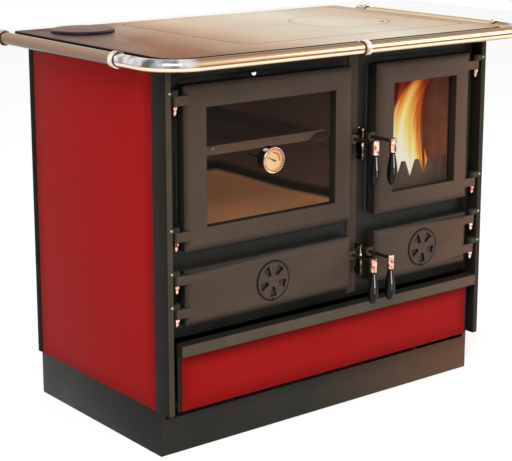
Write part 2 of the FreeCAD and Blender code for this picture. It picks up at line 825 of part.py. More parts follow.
tray_half = "oven_width / 2 - tray_gap"
tray_y0 = "frame_rear + tray_setback"
node("oven_tray", cut(
    "oven_tray",
    box("tray_outer", (f"oven_x - ({tray_half})", f"oven_x + {tray_half}"),
        (tray_y0, "oven_rear - tray_rear_gap"), ("runner_top", "runner_top + tray_height")),
    box("tray_inner",
        (f"oven_x - ({tray_half}) + tray_wall", f"oven_x + {tray_half} - tray_wall"),
        (f"{tray_y0} + tray_wall", "oven_rear - tray_rear_gap - tray_wall"),
        ("runner_top + tray_wall", f"runner_top + tray_height + {OVER}")),
))

node("under_oven_box", cut(
    "under_oven_box",
    box("under_oven_outer",
        (f"oven_x - {oven_half} - sheet_thickness", f"oven_x + {oven_half} + sheet_thickness"), oven_y,
        ("lower_opening_bottom - sheet_thickness", "lower_opening_top + sheet_thickness")),
    box("under_oven_inner", (f"oven_x - {oven_half}", f"oven_x + {oven_half}"),
        (f"frame_rear - {OVER}", "oven_rear - sheet_thickness"),
        ("lower_opening_bottom", "lower_opening_top")),
))

# Firebox: a casing with a shelf, fire bricks on the shelf, a grate between them and a toothed guard.
casing_shell = cut(
    "casing_shell",
    box("casing_outer", ("fire_x - casing_half - casing_wall", "fire_x + casing_half + casing_wall"),
        ("frame_rear", "casing_rear + casing_wall"), ("lower_opening_bottom - casing_wall", "casing_top")),
    box("casing_inner", ("fire_x - casing_half", "fire_x + casing_half"),
        (f"frame_rear - {OVER}", "casing_rear"), ("lower_opening_bottom", f"casing_top + {OVER}")),
)
grate_half = "fire_opening_width / 2 - brick_joint"
grate_y0 = "frame_rear + brick_setback + brick_joint"
grate_y1 = "casing_rear - brick_thickness - 2 * brick_joint"
shelf = cut(
    "shelf",
    box("shelf_plate", ("fire_x - casing_half", "fire_x + casing_half"), ("frame_rear", "casing_rear"),
        ("shelf_bottom", "shelf_top")),
    box("shelf_opening",
        (f"fire_x - ({grate_half}) + grate_bearing", f"fire_x + {grate_half} - grate_bearing"),
        (f"{grate_y0} + grate_bearing", f"{grate_y1} - grate_bearing"),
        (f"shelf_bottom - {OVER}", f"shelf_top + {OVER}")),
)
node("firebox_casing", fuse("firebox_casing", casing_shell, shelf))


def fire_brick(label, length, facing, x, y):
    """A brick with grooves down its hot face. Its length lies along X before it is turned in plan."""
    brick = part_body(label)
    brick.Placement = FreeCAD.Placement(FreeCAD.Vector(), FreeCAD.Rotation(FreeCAD.Vector(0, 0, 1), facing))
    for axis, place in (("x", x), ("y", y), ("z", "shelf_top")):
        bind(brick, f"Placement.Base.{axis}", place)
    block = sketch_on(brick, f"{label}_block", "floor")
    half = f"({length}) / 2"
    polygon(block, [
        (f"-{half}", "0"), (half, "0"), (half, "brick_thickness"), (f"-{half}", "brick_thickness")])
    pad(brick, block, "brick_height")
    groove = sketch_on(brick, f"{label}_groove", "floor", "brick_height")
    first = f"(brick_groove_pitch - brick_groove_width) / 2 - {half}"
    polygon(groove, [
        (first, f"-{OVER}"),
        (f"{first} + brick_groove_width", f"-{OVER}"),
        (f"{first} + brick_groove_width", "brick_groove_depth"),
        (first, "brick_groove_depth"),
    ])
    slot = pocket(brick, groove, "brick_height")
    repeat(brick, f"{label}_grooves", slot, groove, "brick_groove_pitch",
           f"floor(({length}) / brick_groove_pitch)")
    node(label, brick)


side_brick_length = "casing_rear - frame_rear - brick_setback - brick_joint"
side_brick_y = f"frame_rear + brick_setback + ({side_brick_length}) / 2"
fire_brick("firebrick_left", side_brick_length, 90, "fire_x - fire_opening_width / 2", side_brick_y)
fire_brick("firebrick_right", side_brick_length, -90, "fire_x + fire_opening_width / 2", side_brick_y)
rear_brick_y = "casing_rear - brick_thickness - brick_joint"
fire_brick("firebrick_rear", f"2 * ({grate_half})", 0, "fire_x", rear_brick_y)

grate = part_body("fire_grate", x="fire_x", y=grate_y0, z="shelf_top")
grate_plate = sketch_on(grate, "grate_plate", "floor")
grate_length = f"({grate_y1}) - ({grate_y0})"
polygon(grate_plate, [
    (f"-({grate_half})", "0"), (grate_half, "0"), (grate_half, grate_length),
    (f"-({grate_half})", grate_length)])
pad(grate, grate_plate, "grate_thickness")
grate_slot = sketch_on(grate, "grate_slot", "floor", "grate_thickness")
slot_x = f"grate_edge - ({grate_half})"
polygon(grate_slot, [
    (slot_x, "grate_edge"),
    (f"{slot_x} + grate_slot_width", "grate_edge"),
    (f"{slot_x} + grate_slot_width", f"{grate_length} - grate_edge"),
    (slot_x, f"{grate_length} - grate_edge"),
])
first_slot = pocket(grate, grate_slot, "grate_thickness")
repeat(grate, "grate_slots", first_slot, grate_slot, "grate_slot_pitch",
       f"floor((2 * ({grate_half}) - 2 * grate_edge - grate_slot_width) / grate_slot_pitch) + 1")
node("fire_grate", grate)

guard = part_body("log_guard", x="fire_x", y="frame_rear + guard_setback", z="grate_top")
teeth = sketch_on(guard, "guard_teeth", "front")
corners = [(f"-({grate_half})", "0"), (grate_half, "0"), (grate_half, "guard_peak")]
for valley in (2, 1, 0, -1, -2):
    middle = f"{valley} * guard_pitch"
    corners.append((f"{middle} + guard_pitch / 2 - guard_tip / 2", "guard_peak"))
    corners.append((middle, "guard_valley"))
    corners.append((f"{middle} - guard_pitch / 2 + guard_tip / 2", "guard_peak"))
corners.append((f"-({grate_half})", "guard_peak"))
polygon(teeth, corners)
pad(guard, teeth, "guard_thickness", reverse=True)
node("log_guard", guard)

pan_x = ("fire_x - ash_pan_width / 2", "fire_x + ash_pan_width / 2")
pan_y0 = "frame_rear + ash_pan_setback"
pan_y1 = "casing_rear - ash_pan_rear_gap"
node("ash_pan", cut(
    "ash_pan",
    box("pan_outer", pan_x, (pan_y0, pan_y1),
        ("lower_opening_bottom", "lower_opening_bottom + ash_pan_height")),
    box("pan_inner", (f"{pan_x[0]} + tray_wall", f"{pan_x[1]} - tray_wall"),
        (f"{pan_y0} + tray_wall", f"{pan_y1} - tray_wall"),
        ("lower_opening_bottom + tray_wall", f"lower_opening_bottom + ash_pan_height + {OVER}")),
))

# Doors. Each is described once, and its hinge and handle sides follow from where it hangs.


def bevelled_block(name, x, z):
    """A door's block, whose front edges are bevelled."""
    face = doc.addObject("Part::Wedge", f"{name}_face")
    for side, text in (
        ("Xmin", f"{x[0]} + door_bevel"), ("Xmax", f"{x[1]} - door_bevel"),
        ("Zmin", f"{z[0]} + door_bevel"), ("Zmax", f"{z[1]} - door_bevel"),
        ("X2min", x[0]), ("X2max", x[1]), ("Z2min", z[0]), ("Z2max", z[1]),
        ("Ymin", "0"), ("Ymax", "door_bevel_depth"),
    ):
        bind(face, side, text)
    return fuse(f"{name}_block", face, box(f"{name}_back", x, ("door_bevel_depth", "door_thickness"), z))


def hinge_lugs(name, sign, edge, lugs):
    """The arms that reach from a door's edge to its two hinge pins, and the holes in them."""
    x = f"{sign} * hinge_x"
    root = f"{edge} - {sign} * door_bevel"
    arms = []
    bores = []
    for place, z in lugs.items():
        span = (z, f"{z} + lug_height")
        reach = (x, root) if sign == LEFT else (root, x)
        arms.append(rod(f"{name}_{place}_lug", "z", (x, "pin_y"), span, "lug_radius"))
        arms.append(box(f"{name}_{place}_arm", reach, ("pin_y - lug_radius", "pin_y + lug_radius"), span))
        bores.append(rod(f"{name}_{place}_bore", "z", (x, "pin_y"),
                         (f"{z} - {OVER}", f"{z} + lug_height + {OVER}"), "pin_radius + pin_clearance"))
    return arms, bores


def handle_lug(name, sign, edge, z):
    """The ear on a door's free edge that carries the handle's spindle, and the hole in it."""
    x = f"stile_x + {sign} * spindle_offset"
    y = ("handle_lug_front", "handle_lug_front + handle_lug_thickness")
    reach = (edge, x) if sign == LEFT else (x, edge)
    ear = [
        rod(f"{name}_ear", "y", (x, z), y, "handle_lug_radius"),
        box(f"{name}_ear_root", reach, y, (f"{z} - handle_lug_radius", f"{z} + handle_lug_radius")),
    ]
    bore = rod(f"{name}_ear_bore", "y", (x, z), (f"{y[0]} - {OVER}", f"{y[1]} + {OVER}"),
               "spindle_radius + pin_clearance")
    return ear, bore


def lug_places(row):
    """Where the lugs of a row of doors start, from the door's top and its bottom."""
    return {
        "top": f"({row}_door_top - {row}_door_top_lug - lug_height)",
        "low": f"({row}_door_bottom + {row}_door_low_lug)",
    }


def glazed_door(name, sign, x, window_side):
    """A cast door with a window, glazed from behind, and a rope seal in a groove round its back."""
    z = ("upper_door_bottom", "upper_door_top")
    hinge_edge, free_edge = (x[0], x[1]) if sign == LEFT else (x[1], x[0])

    def inset(distance):
        return (
            (f"{x[0]} + {distance}", f"{x[1]} - ({distance})"),
            (f"{z[0]} + {distance}", f"{z[1]} - ({distance})"),
        )

    def round_window(distance):
        return (
            (f"{x[0]} + {window_side} - ({distance})", f"{x[1]} - {window_side} + {distance}"),
            (f"{z[0]} + window_end - ({distance})", f"{z[1]} - window_end + {distance}"),
        )

    def ring(label, outer, inner, y):
        over_y = (f"{y[0]} - {OVER}", f"{y[1]} + {OVER}")
        return cut(label, box(f"{label}_outer", outer[0], y, outer[1]),
                   box(f"{label}_inner", inner[0], over_y, inner[1]))

    arms, bores = hinge_lugs(name, sign, hinge_edge, lug_places("upper"))
    ear, ear_bore = handle_lug(name, sign, free_edge, "upper_spindle_z")
    casting = fuse(
        f"{name}_casting",
        bevelled_block(name, x, z),
        *arms,
        *ear,
    )
    back = ("door_thickness - seal_depth", f"door_thickness + {OVER}")
    glass_y = ("glass_setback", "glass_setback + glass_thickness")
    window = round_window("0")
    glass_pocket = round_window("glass_lap + glass_gap")
    clip_pocket = round_window("glass_lap + glass_gap + clip_seat")
    behind = f"door_thickness + {OVER}"
    node(f"{name}_door", cut(
        f"{name}_door",
        casting,
        box(f"{name}_window", window[0], (f"-{OVER}", behind), window[1]),
        box(f"{name}_glass_pocket", glass_pocket[0], ("glass_setback", behind), glass_pocket[1]),
        box(f"{name}_clip_pocket", clip_pocket[0], (glass_y[1], behind), clip_pocket[1]),
        ring(f"{name}_groove", inset("seal_inset"), inset("seal_inset + seal_width"), back),
        *bores,
        ear_bore,
    ))
    glass = round_window("glass_lap")
    pane = box(f"{name}_pane", glass[0], glass_y, glass[1])
    if name == "oven":
        pane = cut("oven_pane_drilled", pane, rod(
            "oven_pane_hole", "y", ("oven_x", "gauge_z"),
            (f"{glass_y[0]} - {OVER}", f"{glass_y[1]} + {OVER}"), "gauge_stem_radius + gauge_stem_gap"))
    node(f"{name}_glass", pane)
    node(f"{name}_seal", ring(
        f"{name}_seal",
        inset("seal_inset + seal_gap"),
        inset("seal_inset + seal_width - seal_gap"),
        ("door_thickness - seal_depth + seal_gap", "seat"),
    ))
    clip_y = (glass_y[1], f"{glass_y[1]} + clip_thickness")
    seat_x, seat_z = round_window("glass_lap + clip_seat")
    lap_x, lap_z = round_window("glass_lap - clip_lap")
    middle_x = f"({x[0]} + {x[1]}) / 2"
    clips = []
    for end, z_span in (("top", (lap_z[1], seat_z[1])), ("low", (seat_z[0], lap_z[0]))):
        for side, centre in (("a", f"{x[0]} + clip_inset"), ("b", f"{x[1]} - clip_inset")):
            clips.append(box(f"{name}_clip_{end}_{side}",
                             (f"{centre} - clip_length / 2", f"{centre} + clip_length / 2"), clip_y, z_span))
    for side, x_span in (("left", (seat_x[0], lap_x[0])), ("right", (lap_x[1], seat_x[1]))):
        clips.append(box(f"{name}_clip_{side}", x_span, clip_y,
                         ("upper_door_middle - clip_length / 2", "upper_door_middle + clip_length / 2")))
    node(f"{name}_glass_clips", group(f"{name}_glass_clips", *clips))


def solid_door(name, sign, x, rosette_x):
    """A cast door with bevelled edges and a ring of air holes behind a round recess."""
    z = ("lower_door_bottom", "lower_door_top")
    hinge_edge, free_edge = (x[0], x[1]) if sign == LEFT else (x[1], x[0])
    arms, bores = hinge_lugs(name, sign, hinge_edge, lug_places("lower"))
    ear, ear_bore = handle_lug(name, sign, free_edge, "lower_spindle_z")
    casting = fuse(
        f"{name}_casting",
        bevelled_block(name, x, z),
        *arms,
        *ear,
    )
    through = ("0", f"door_thickness + {OVER}")
    holes = []
    for k in range(SIZES["rosette_count"]):
        turn = f"90 + {k} * 360 / rosette_count"
        holes.append(rod(
            f"{name}_air_hole{k}", "y",
            (f"{rosette_x} + air_hole_circle * cos({turn})",
             f"lower_door_middle + air_hole_circle * sin({turn})"),
            through, "air_hole_radius"))
    centre = (rosette_x, "lower_door_middle")
    return node(f"{name}_door", cut(
        f"{name}_door",
        casting,
        rod(f"{name}_recess", "y", centre, (f"-{OVER}", "rosette_recess_depth"),
            "rosette_radius + rosette_recess_gap"),
        rod(f"{name}_stud_hole", "y", centre, through, "rosette_stud_radius + pin_clearance"),
        *holes,
        *bores,
        ear_bore,
    ))


oven_columns = ("oven_door_left", "oven_door_right")
fire_columns = ("fire_door_left", "fire_door_right")
glazed_door("oven", LEFT, oven_columns, "oven_window_side")
glazed_door("fire", RIGHT, fire_columns, "fire_window_side")
solid_door("under_oven", LEFT, oven_columns, "oven_x")
solid_door("ash", RIGHT, fire_columns, "fire_x")

# Hinges: a pin with a nut at each lug, through a knuckle on the post above the lug.
pins = []
knuckles = []
for name, sign in SIDES:
    for row in ("upper", "lower"):
        for place, z in lug_places(row).items():
            tag = f"{row}_{place}_{name}"
            x = f"{sign} * hinge_x"
            top = f"{z} + lug_height + hinge_gap"
            nut_top = f"{z} - hinge_gap"
            nut = doc.addObject("Part::Prism", f"nut_{tag}")
            nut.Polygon = 6
            bind(nut, "Circumradius", "nut_radius")
            bind(nut, "Height", "nut_height")
            for axis, where in (("x", x), ("y", "pin_y"), ("z", f"{nut_top} - nut_height")):
                bind(nut, f"Placement.Base.{axis}", where)
            shaft = rod(f"shaft_{tag}", "z", (x, "pin_y"), (nut_top, f"{top} + knuckle_height"), "pin_radius")
            pins.append(fuse(f"pin_{tag}", nut, shaft))
            span = (top, f"{top} + knuckle_height")
            block = fuse(
                f"knuckle_{tag}_block",
                rod(f"knuckle_{tag}_barrel", "z", (x, "pin_y"), span, "lug_radius"),
                box(f"knuckle_{tag}_root", across(sign, "hinge_x", "inner_side"),
                    ("pin_y - lug_radius", "pin_y + lug_radius"), span),
            )
            knuckles.append(cut(f"knuckle_{tag}", block, rod(
                f"knuckle_{tag}_bore", "z", (x, "pin_y"),
                (f"{top} - {OVER}", f"{top} + knuckle_height + {OVER}"), "pin_radius + pin_clearance")))
node("hinge_pins", group("hinge_pins", *pins))
node("hinge_knuckles", group("hinge_knuckles", *knuckles))

# Latch keepers on the stile, and the four handles. A handle is a spindle with a tongue at its
# inner end, and a ferrule at its outer end that the grip hangs from.
keepers = []
for row in ("upper", "lower"):
    z = (f"{row}_spindle_z - keeper_drop", f"{row}_spindle_z + keeper_rise")
    keepers.append(fuse(
        f"keeper_{row}",
        box(f"keeper_{row}_leaf", ("stile_x - keeper_thickness / 2", "stile_x + keeper_thickness / 2"),
            ("keeper_front", "frame_setback - keeper_foot_thickness"), z),
        box(f"keeper_{row}_foot", ("stile_x - keeper_foot / 2", "stile_x + keeper_foot / 2"),
            ("frame_setback - keeper_foot_thickness", "frame_setback"), z),
    ))
node("latch_keepers", group("latch_keepers", *keepers))

GRIP_OUTLINE = (
    ("grip_neck_radius", "0"),
    ("grip_neck_radius", "-0.06 * grip_length"),
    ("0.72 * grip_radius", "-0.25 * grip_length"),
    ("0.91 * grip_radius", "-0.45 * grip_length"),
    ("grip_radius", "-0.64 * grip_length"),
    ("0.93 * grip_radius", "-0.8 * grip_length"),
    ("0.68 * grip_radius", "-0.93 * grip_length"),
    ("grip_tip_radius", "-grip_length"),
)
tongue_y = "handle_lug_front + handle_lug_thickness + tongue_lug_gap"
for door, sign, row in (
    ("oven", LEFT, "upper"),
    ("fire", RIGHT, "upper"),
    ("under_oven", LEFT, "lower"),
    ("ash", RIGHT, "lower"),
):
    x = f"stile_x + {sign} * spindle_offset"
    z = f"{row}_spindle_z"
    tip = f"stile_x + {sign} * (keeper_thickness / 2 + tongue_gap)"
    reach = (x, tip) if sign == LEFT else (tip, x)
    node(f"{door}_handle_stem", fuse(
        f"{door}_handle_stem",
        rod(f"{door}_spindle", "y", (x, z), ("-spindle_reach", f"{tongue_y} + tongue_thickness"),
            "spindle_radius"),
        box(f"{door}_tongue", reach, (tongue_y, f"{tongue_y} + tongue_thickness"),
            (f"{z} - tongue_height / 2", f"{z} + tongue_height / 2")),
        rod(f"{door}_ferrule", "z", (x, "-spindle_reach"),
            (f"{z} + ferrule_top - ferrule_height", f"{z} + ferrule_top"), "ferrule_radius"),
    ))
    grip = part_body(f"{door}_handle_grip", x=x, y="-spindle_reach",
                     z=f"{z} + ferrule_top - ferrule_height")
    outline = sketch_on(grip, f"{door}_grip_outline", "front")
    polygon(outline, [("0", "0"), *GRIP_OUTLINE, ("0", "-grip_length")])
    revolve(grip, outline)
    node(f"{door}_handle_grip", grip)

# Air rosettes: a disc with five openings that turns over the holes in a lower door.
for door, x in (("under_oven", "oven_x"), ("ash", "fire_x")):
    disc = part_body(f"{door}_rosette", x=x, y="rosette_recess_depth - rosette_seat_gap",
                     z="lower_door_middle")
    rim = sketch_on(disc, f"{door}_rim", "front")
    circle(rim, "0", "0", "rosette_radius")
    pad(disc, rim, "rosette_thickness")
    stud = sketch_on(disc, f"{door}_stud", "front")
    circle(stud, "0", "0", "rosette_stud_radius")
    pad(disc, stud, "door_thickness - rosette_recess_depth + rosette_seat_gap", reverse=True)
    tab = sketch_on(disc, f"{door}_tab", "front", "rosette_thickness")
    polygon(tab, [
        ("-rosette_tab_width / 2", "-rosette_radius"),
        ("rosette_tab_width / 2", "-rosette_radius"),
        ("rosette_tab_width / 2", "rosette_tab_length - rosette_radius"),
        ("-rosette_tab_width / 2", "rosette_tab_length - rosette_radius"),
    ])
    pad(disc, tab, "rosette_tab_height")
    slot = sketch_on(disc, f"{door}_slot", "front", "rosette_thickness")
    turned = []
    for reach, half in (
        ("rosette_inner", "-rosette_slot_inner"),
        ("rosette_outer", "-rosette_slot_outer"),
        ("rosette_outer", "rosette_slot_outer"),
        ("rosette_inner", "rosette_slot_inner"),
    ):
        turned.append((
            f"{reach} * cos(rosette_rest_turn) - {half} * sin(rosette_rest_turn)",
            f"{reach} * sin(rosette_rest_turn) + {half} * cos(rosette_rest_turn)",
        ))
    polygon(slot, turned)
    opening = pocket(disc, slot, "rosette_thickness")
    wheel = disc.newObject("PartDesign::PolarPattern", f"{door}_openings")
    wheel.Originals = [opening]
    wheel.Axis = (slot, ["N_Axis"])
    wheel.Angle = 360
    bind(wheel, "Occurrences", "rosette_count")
    disc.Tip = wheel
    node(f"{door}_rosette", disc)

# Thermometer: a case against the outside of the oven glass, its stem through the glass, a nut
# behind, and a needle on a pivot in the dial.
gauge_at = ("oven_x", "gauge_z")
dial_y = "gauge_recess - gauge_front"
stem_y1 = "glass_setback + glass_thickness + gauge_stem_reach"
nut_y0 = "glass_setback + glass_thickness"
case = cut(
    "gauge_case",
    fuse("gauge_case_solid",
         rod("gauge_drum", "y", gauge_at, ("-gauge_front", "glass_setback"), "gauge_radius"),
         rod("gauge_stem", "y", gauge_at, ("glass_setback", stem_y1), "gauge_stem_radius")),
    rod("gauge_dial", "y", gauge_at, (f"-gauge_front - {OVER}", dial_y), "gauge_radius - gauge_bezel"),
    rod("gauge_pivot_hole", "y", gauge_at, (dial_y, f"{dial_y} + 2 * gauge_recess"),
        "needle_pivot_radius + pin_clearance"),
)
gauge_nut = cut(
    "gauge_nut",
    rod("gauge_nut_drum", "y", gauge_at, (nut_y0, f"{nut_y0} + gauge_nut_height"), "gauge_nut_radius"),
    rod("gauge_nut_bore", "y", gauge_at, (f"{nut_y0} - {OVER}", f"{nut_y0} + gauge_nut_height + {OVER}"),
        "gauge_stem_radius + pin_clearance"),
)
node("thermometer_case", group("thermometer_case", case, gauge_nut))

needle = part_body("thermometer_needle", x="oven_x", y=f"{dial_y} - needle_thickness / 2", z="gauge_z")
pointer = sketch_on(needle, "pointer", "front")
corners = []
for along, half in (
    ("-needle_tail", "-needle_tail_half"),
    ("needle_length", "-needle_tip_half"),
    ("needle_length", "needle_tip_half"),
    ("-needle_tail", "needle_tail_half"),
):
    corners.append((
        f"{along} * cos(needle_angle) - ({half}) * sin(needle_angle)",
        f"{along} * sin(needle_angle) + ({half}) * cos(needle_angle)",
    ))
polygon(pointer, corners)
pad(needle, pointer, "needle_thickness")
hub = sketch_on(needle, "needle_hub", "front")
circle(hub, "0", "0", "needle_hub_radius")
pad(needle, hub, "needle_hub_thickness")
pivot = sketch_on(needle, "needle_pivot", "front")
circle(pivot, "0", "0", "needle_pivot_radius")
pad(needle, pivot, "needle_thickness + gauge_recess", reverse=True)
node("thermometer_needle", needle)

# Damper: a rod through the front frame with a ball knob, and the plate it pulls.
damper_at = ("-damper_x", "damper_z")
knob = doc.addObject("Part::Sphere", "damper_knob")
bind(knob, "Radius", "damper_knob_radius")
for axis, where in (("x", "-damper_x"), ("y", "damper_knob_y"), ("z", "damper_z")):
    bind(knob, f"Placement.Base.{axis}", where)
plate_y = "damper_knob_y + damper_rod_length"
node("damper", fuse(
    "damper",
    knob,
    rod("damper_rod", "y", damper_at, ("damper_knob_y", f"{plate_y} + damper_rod_radius"),
        "damper_rod_radius"),
    box("damper_plate",
        ("-damper_x - damper_plate_width / 2", "damper_plate_width / 2 - damper_x"),
        (plate_y, f"{plate_y} + damper_plate_length"),
        ("damper_z - damper_plate_thickness / 2", "damper_z + damper_plate_thickness / 2")),
))

# Wood drawer: a box on two runners, with a backing plate, a front and a ledge bar over it.
drawer_y = ("drawer_rear", "body_depth - drawer_rear_gap")
drawer_z = ("drawer_bottom", "drawer_top")
backing_y = ("drawer_face + drawer_face_thickness", "drawer_rear")
backing_half = "inner_side - drawer_face_side + drawer_backing_border"
node("drawer_box", fuse(
    "drawer_box",
    cut("drawer_tub",
        box("drawer_outer", ("-drawer_half", "drawer_half"), drawer_y, drawer_z),
        box("drawer_inner",
            ("sheet_thickness - drawer_half", "drawer_half - sheet_thickness"),
            ("drawer_rear + sheet_thickness", f"{drawer_y[1]} - sheet_thickness"),
            ("drawer_bottom + sheet_thickness", f"drawer_top + {OVER}"))),
    box("drawer_backing_plate", (f"-({backing_half})", backing_half), backing_y,
        ("drawer_face_bottom", "ledge_top")),
))
face_half = "inner_side - drawer_face_side"
node("drawer_front", box(
    "drawer_front", (f"-({face_half})", face_half), ("drawer_face", "drawer_face + drawer_face_thickness"),
    ("drawer_face_bottom", "drawer_face_top")))
ledge_half = "inner_side - ledge_side_gap"
node("drawer_ledge", cut(
    "drawer_ledge",
    box("ledge_outer", (f"-({ledge_half})", ledge_half), ("-ledge_front", backing_y[0]),
        ("ledge_bottom", "ledge_top")),
    box("ledge_inner", (f"ledge_wall - ({ledge_half})", f"{ledge_half} - ledge_wall"),
        ("ledge_wall - ledge_front", f"{backing_y[0]} + {OVER}"),
        (f"ledge_bottom - {OVER}", "ledge_top - ledge_wall")),
))

runners = []
for name, sign in SIDES:
    web_y = ("slide_front", drawer_y[1])
    foot_top = "drawer_bottom - slide_gap"
    web = ("drawer_half + slide_gap", "drawer_half + slide_gap + sheet_thickness")
    runners.append(fuse(
        f"slide_{name}",
        box(f"slide_{name}_web", across(sign, *web), web_y, ("base_top", "base_top + slide_height")),
        box(f"slide_{name}_foot", across(sign, f"{web[1]} - slide_width", web[1]), web_y,
            ("base_top", foot_top)),
    ))
node("drawer_runners", group("drawer_runners", *runners))

doc.recompute()
for obj in doc.Objects:
    if "Invalid" in obj.State or "Error" in obj.State:
        raise RuntimeError(f"{obj.Label}: {obj.State}")
for obj in nodes:
    if obj.Shape.isNull() or not obj.Shape.isValid():
        raise RuntimeError(f"{obj.Label} has no valid shape")

os.makedirs("parts", exist_ok=True)
for obj in nodes:
    obj.Shape.exportStep(os.path.join("parts", f"{obj.Label}.step"))
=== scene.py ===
import math

import bmesh
import bpy
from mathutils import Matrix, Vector


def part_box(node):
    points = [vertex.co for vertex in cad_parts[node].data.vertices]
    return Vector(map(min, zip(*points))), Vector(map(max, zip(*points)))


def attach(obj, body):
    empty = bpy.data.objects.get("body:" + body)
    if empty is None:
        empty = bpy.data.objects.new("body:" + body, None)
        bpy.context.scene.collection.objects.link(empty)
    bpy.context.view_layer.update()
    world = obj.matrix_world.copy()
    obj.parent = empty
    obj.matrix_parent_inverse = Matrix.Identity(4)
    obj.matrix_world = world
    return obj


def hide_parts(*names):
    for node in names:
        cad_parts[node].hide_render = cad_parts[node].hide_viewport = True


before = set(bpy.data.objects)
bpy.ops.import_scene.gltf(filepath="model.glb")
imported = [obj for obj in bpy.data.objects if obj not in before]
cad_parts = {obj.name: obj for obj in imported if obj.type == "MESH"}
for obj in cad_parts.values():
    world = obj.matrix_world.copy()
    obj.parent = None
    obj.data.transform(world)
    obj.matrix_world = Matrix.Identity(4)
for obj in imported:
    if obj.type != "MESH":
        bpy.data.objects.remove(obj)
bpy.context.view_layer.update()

# Studio. A pale floor and a white surround, with one broad soft lamp over the front left corner
# and a weaker one at the right, so that the cooker is lit evenly from where the photograph looks.

# The camera's place is in metres, and the way it looks is in degrees.
CAMERA_PLACE = (-2.06406, -2.57566, 1.22924)
CAMERA_PITCH = -12.473
CAMERA_TURN = -38.113
CAMERA_LENS = 102.27
CAMERA_RISE = -0.0986
LAMP_AIM = Vector((0, 0, 0.5))
SURROUND_LIGHT = 0.45
FLOOR_LIFT = 0.55
FLOOR_WIDTH = 14
FLOOR_DROP = 0.0006

scene = bpy.context.scene
scene.view_settings.view_transform = "Standard"
eye = bpy.data.cameras.new("camera")
eye.lens = CAMERA_LENS
eye.shift_y = CAMERA_RISE
camera = bpy.data.objects.new("camera", eye)
camera.location = CAMERA_PLACE
camera.rotation_euler = (math.radians(90 + CAMERA_PITCH), 0, math.radians(CAMERA_TURN))
scene.collection.objects.link(camera)
scene.camera = camera


def lamp(name, place, width, power, tint):
    """A square soft lamp that points at the cooker."""
    light = bpy.data.lights.new(name, "AREA")
    light.shape = "SQUARE"
    light.size = width
    light.energy = power
    light.color = tint
    holder = bpy.data.objects.new(name, light)
    holder.location = place
    holder.rotation_euler = (LAMP_AIM - Vector(place)).to_track_quat("-Z", "Y").to_euler()
    scene.collection.objects.link(holder)


lamp("lamp_over_left", place=(-2.6, -2.4, 3.0), width=2.2, power=95, tint=(1.0, 0.98, 0.95))
lamp("lamp_right", place=(2.8, -2.2, 1.8), width=1.8, power=36, tint=(1.0, 0.95, 0.90))


def set_inputs(node, values):
    """Sets a node's own numbers and colours, each by the name of its socket."""
    for label, value in values.items():
        node.inputs[label].default_value = value


def count(tree, operation, first, second=0.0, third=0.0):
    """One sum in a material. Each part is a number or the output of another node."""
    node = tree.nodes.new("ShaderNodeMath")
    node.operation = operation
    for socket, value in zip(node.inputs, (first, second, third)):
        if isinstance(value, (int, float)):
            socket.default_value = value
        else:
            tree.links.new(value, socket)
    return node.outputs[0]


def seen_directly(tree):
    """1 for what the camera, a mirror or a pane shows, and 0 for the light that falls on things."""
    rays = tree.nodes.new("ShaderNodeLightPath").outputs
    shown = rays["Is Camera Ray"]
    for way in ("Is Glossy Ray", "Is Transmission Ray"):
        shown = count(tree, "MAXIMUM", shown, rays[way])
    return shown


def blank(name):
    """A new material, with its node tree and its shader."""
    material = bpy.data.materials.new(name)
    material.use_nodes = True
    return material, material.node_tree, material.node_tree.nodes["Principled BSDF"]


def split(tree, vector):
    """A place or a direction, split into across, depth and height."""
    node = tree.nodes.new("ShaderNodeSeparateXYZ")
    tree.links.new(vector, node.inputs["Vector"])
    return tuple(node.outputs)


def spot(tree):
    """Where a point of the surface is, on Object coordinates."""
    return tree.nodes.new("ShaderNodeTexCoord").outputs["Object"]


def places(tree):
    return split(tree, spot(tree))


world = bpy.data.worlds.new("surround")
world.use_nodes = True
scene.world = world
sky = world.node_tree
sky_light = sky.nodes["Background"]
sky_light.inputs["Color"].default_value = (1, 1, 1, 1)
sky_level = count(sky, "MULTIPLY_ADD", seen_directly(sky), 1 - SURROUND_LIGHT, SURROUND_LIGHT)
sky.links.new(sky_level, sky_light.inputs["Strength"])

bpy.ops.mesh.primitive_plane_add(size=FLOOR_WIDTH, location=(0, 0, -FLOOR_DROP))
floor = bpy.context.object
floor.name = "floor"
floor_white, floor_tree, floor_paint = blank("floor_white")
set_inputs(floor_paint, {"Base Color": (0.8, 0.8, 0.8, 1), "Roughness": 0.9, "Specular IOR Level": 0.1,
                         "Emission Color": (1, 1, 1, 1)})
# The floor inside the plinth gets no lift, so that it stays in the dark.
plinth_low, plinth_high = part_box("plinth")
outside = []
for way, along in enumerate(places(floor_tree)[:2]):
    middle = (plinth_low[way] + plinth_high[way]) / 2
    from_middle = count(floor_tree, "ABSOLUTE", count(floor_tree, "SUBTRACT", along, middle))
    outside.append(count(floor_tree, "GREATER_THAN", from_middle, plinth_high[way] - middle))
floor_glow = count(floor_tree, "MULTIPLY", seen_directly(floor_tree), FLOOR_LIFT)
floor_glow = count(floor_tree, "MULTIPLY", floor_glow, count(floor_tree, "MAXIMUM", *outside))
floor_tree.links.new(floor_glow, floor_paint.inputs["Emission Strength"])
floor.data.materials.append(floor_white)

# Plinth and base plate. Folded sheet steel, stoved black-brown: the cooker stands on the plinth,
# and the base plate lies on its flanges. A brown reflection is painted on the plinth toward its right
# end, and shade, nearly black, is painted on its left side.

MM = 0.001
ACROSS, DEPTH, HEIGHT = range(3)
SMOOTH_UNDER = 35
SHEET_ROUNDING = 1.2


def tone(red, green, blue):
    """A colour as a screen gives it, 0 to 255 each, turned into Blender's own scale."""
    return tuple((c / 12.92 if c <= 0.04045 else ((c + 0.055) / 1.055) ** 2.4)
                 for c in (red / 255, green / 255, blue / 255)) + (1.0,)


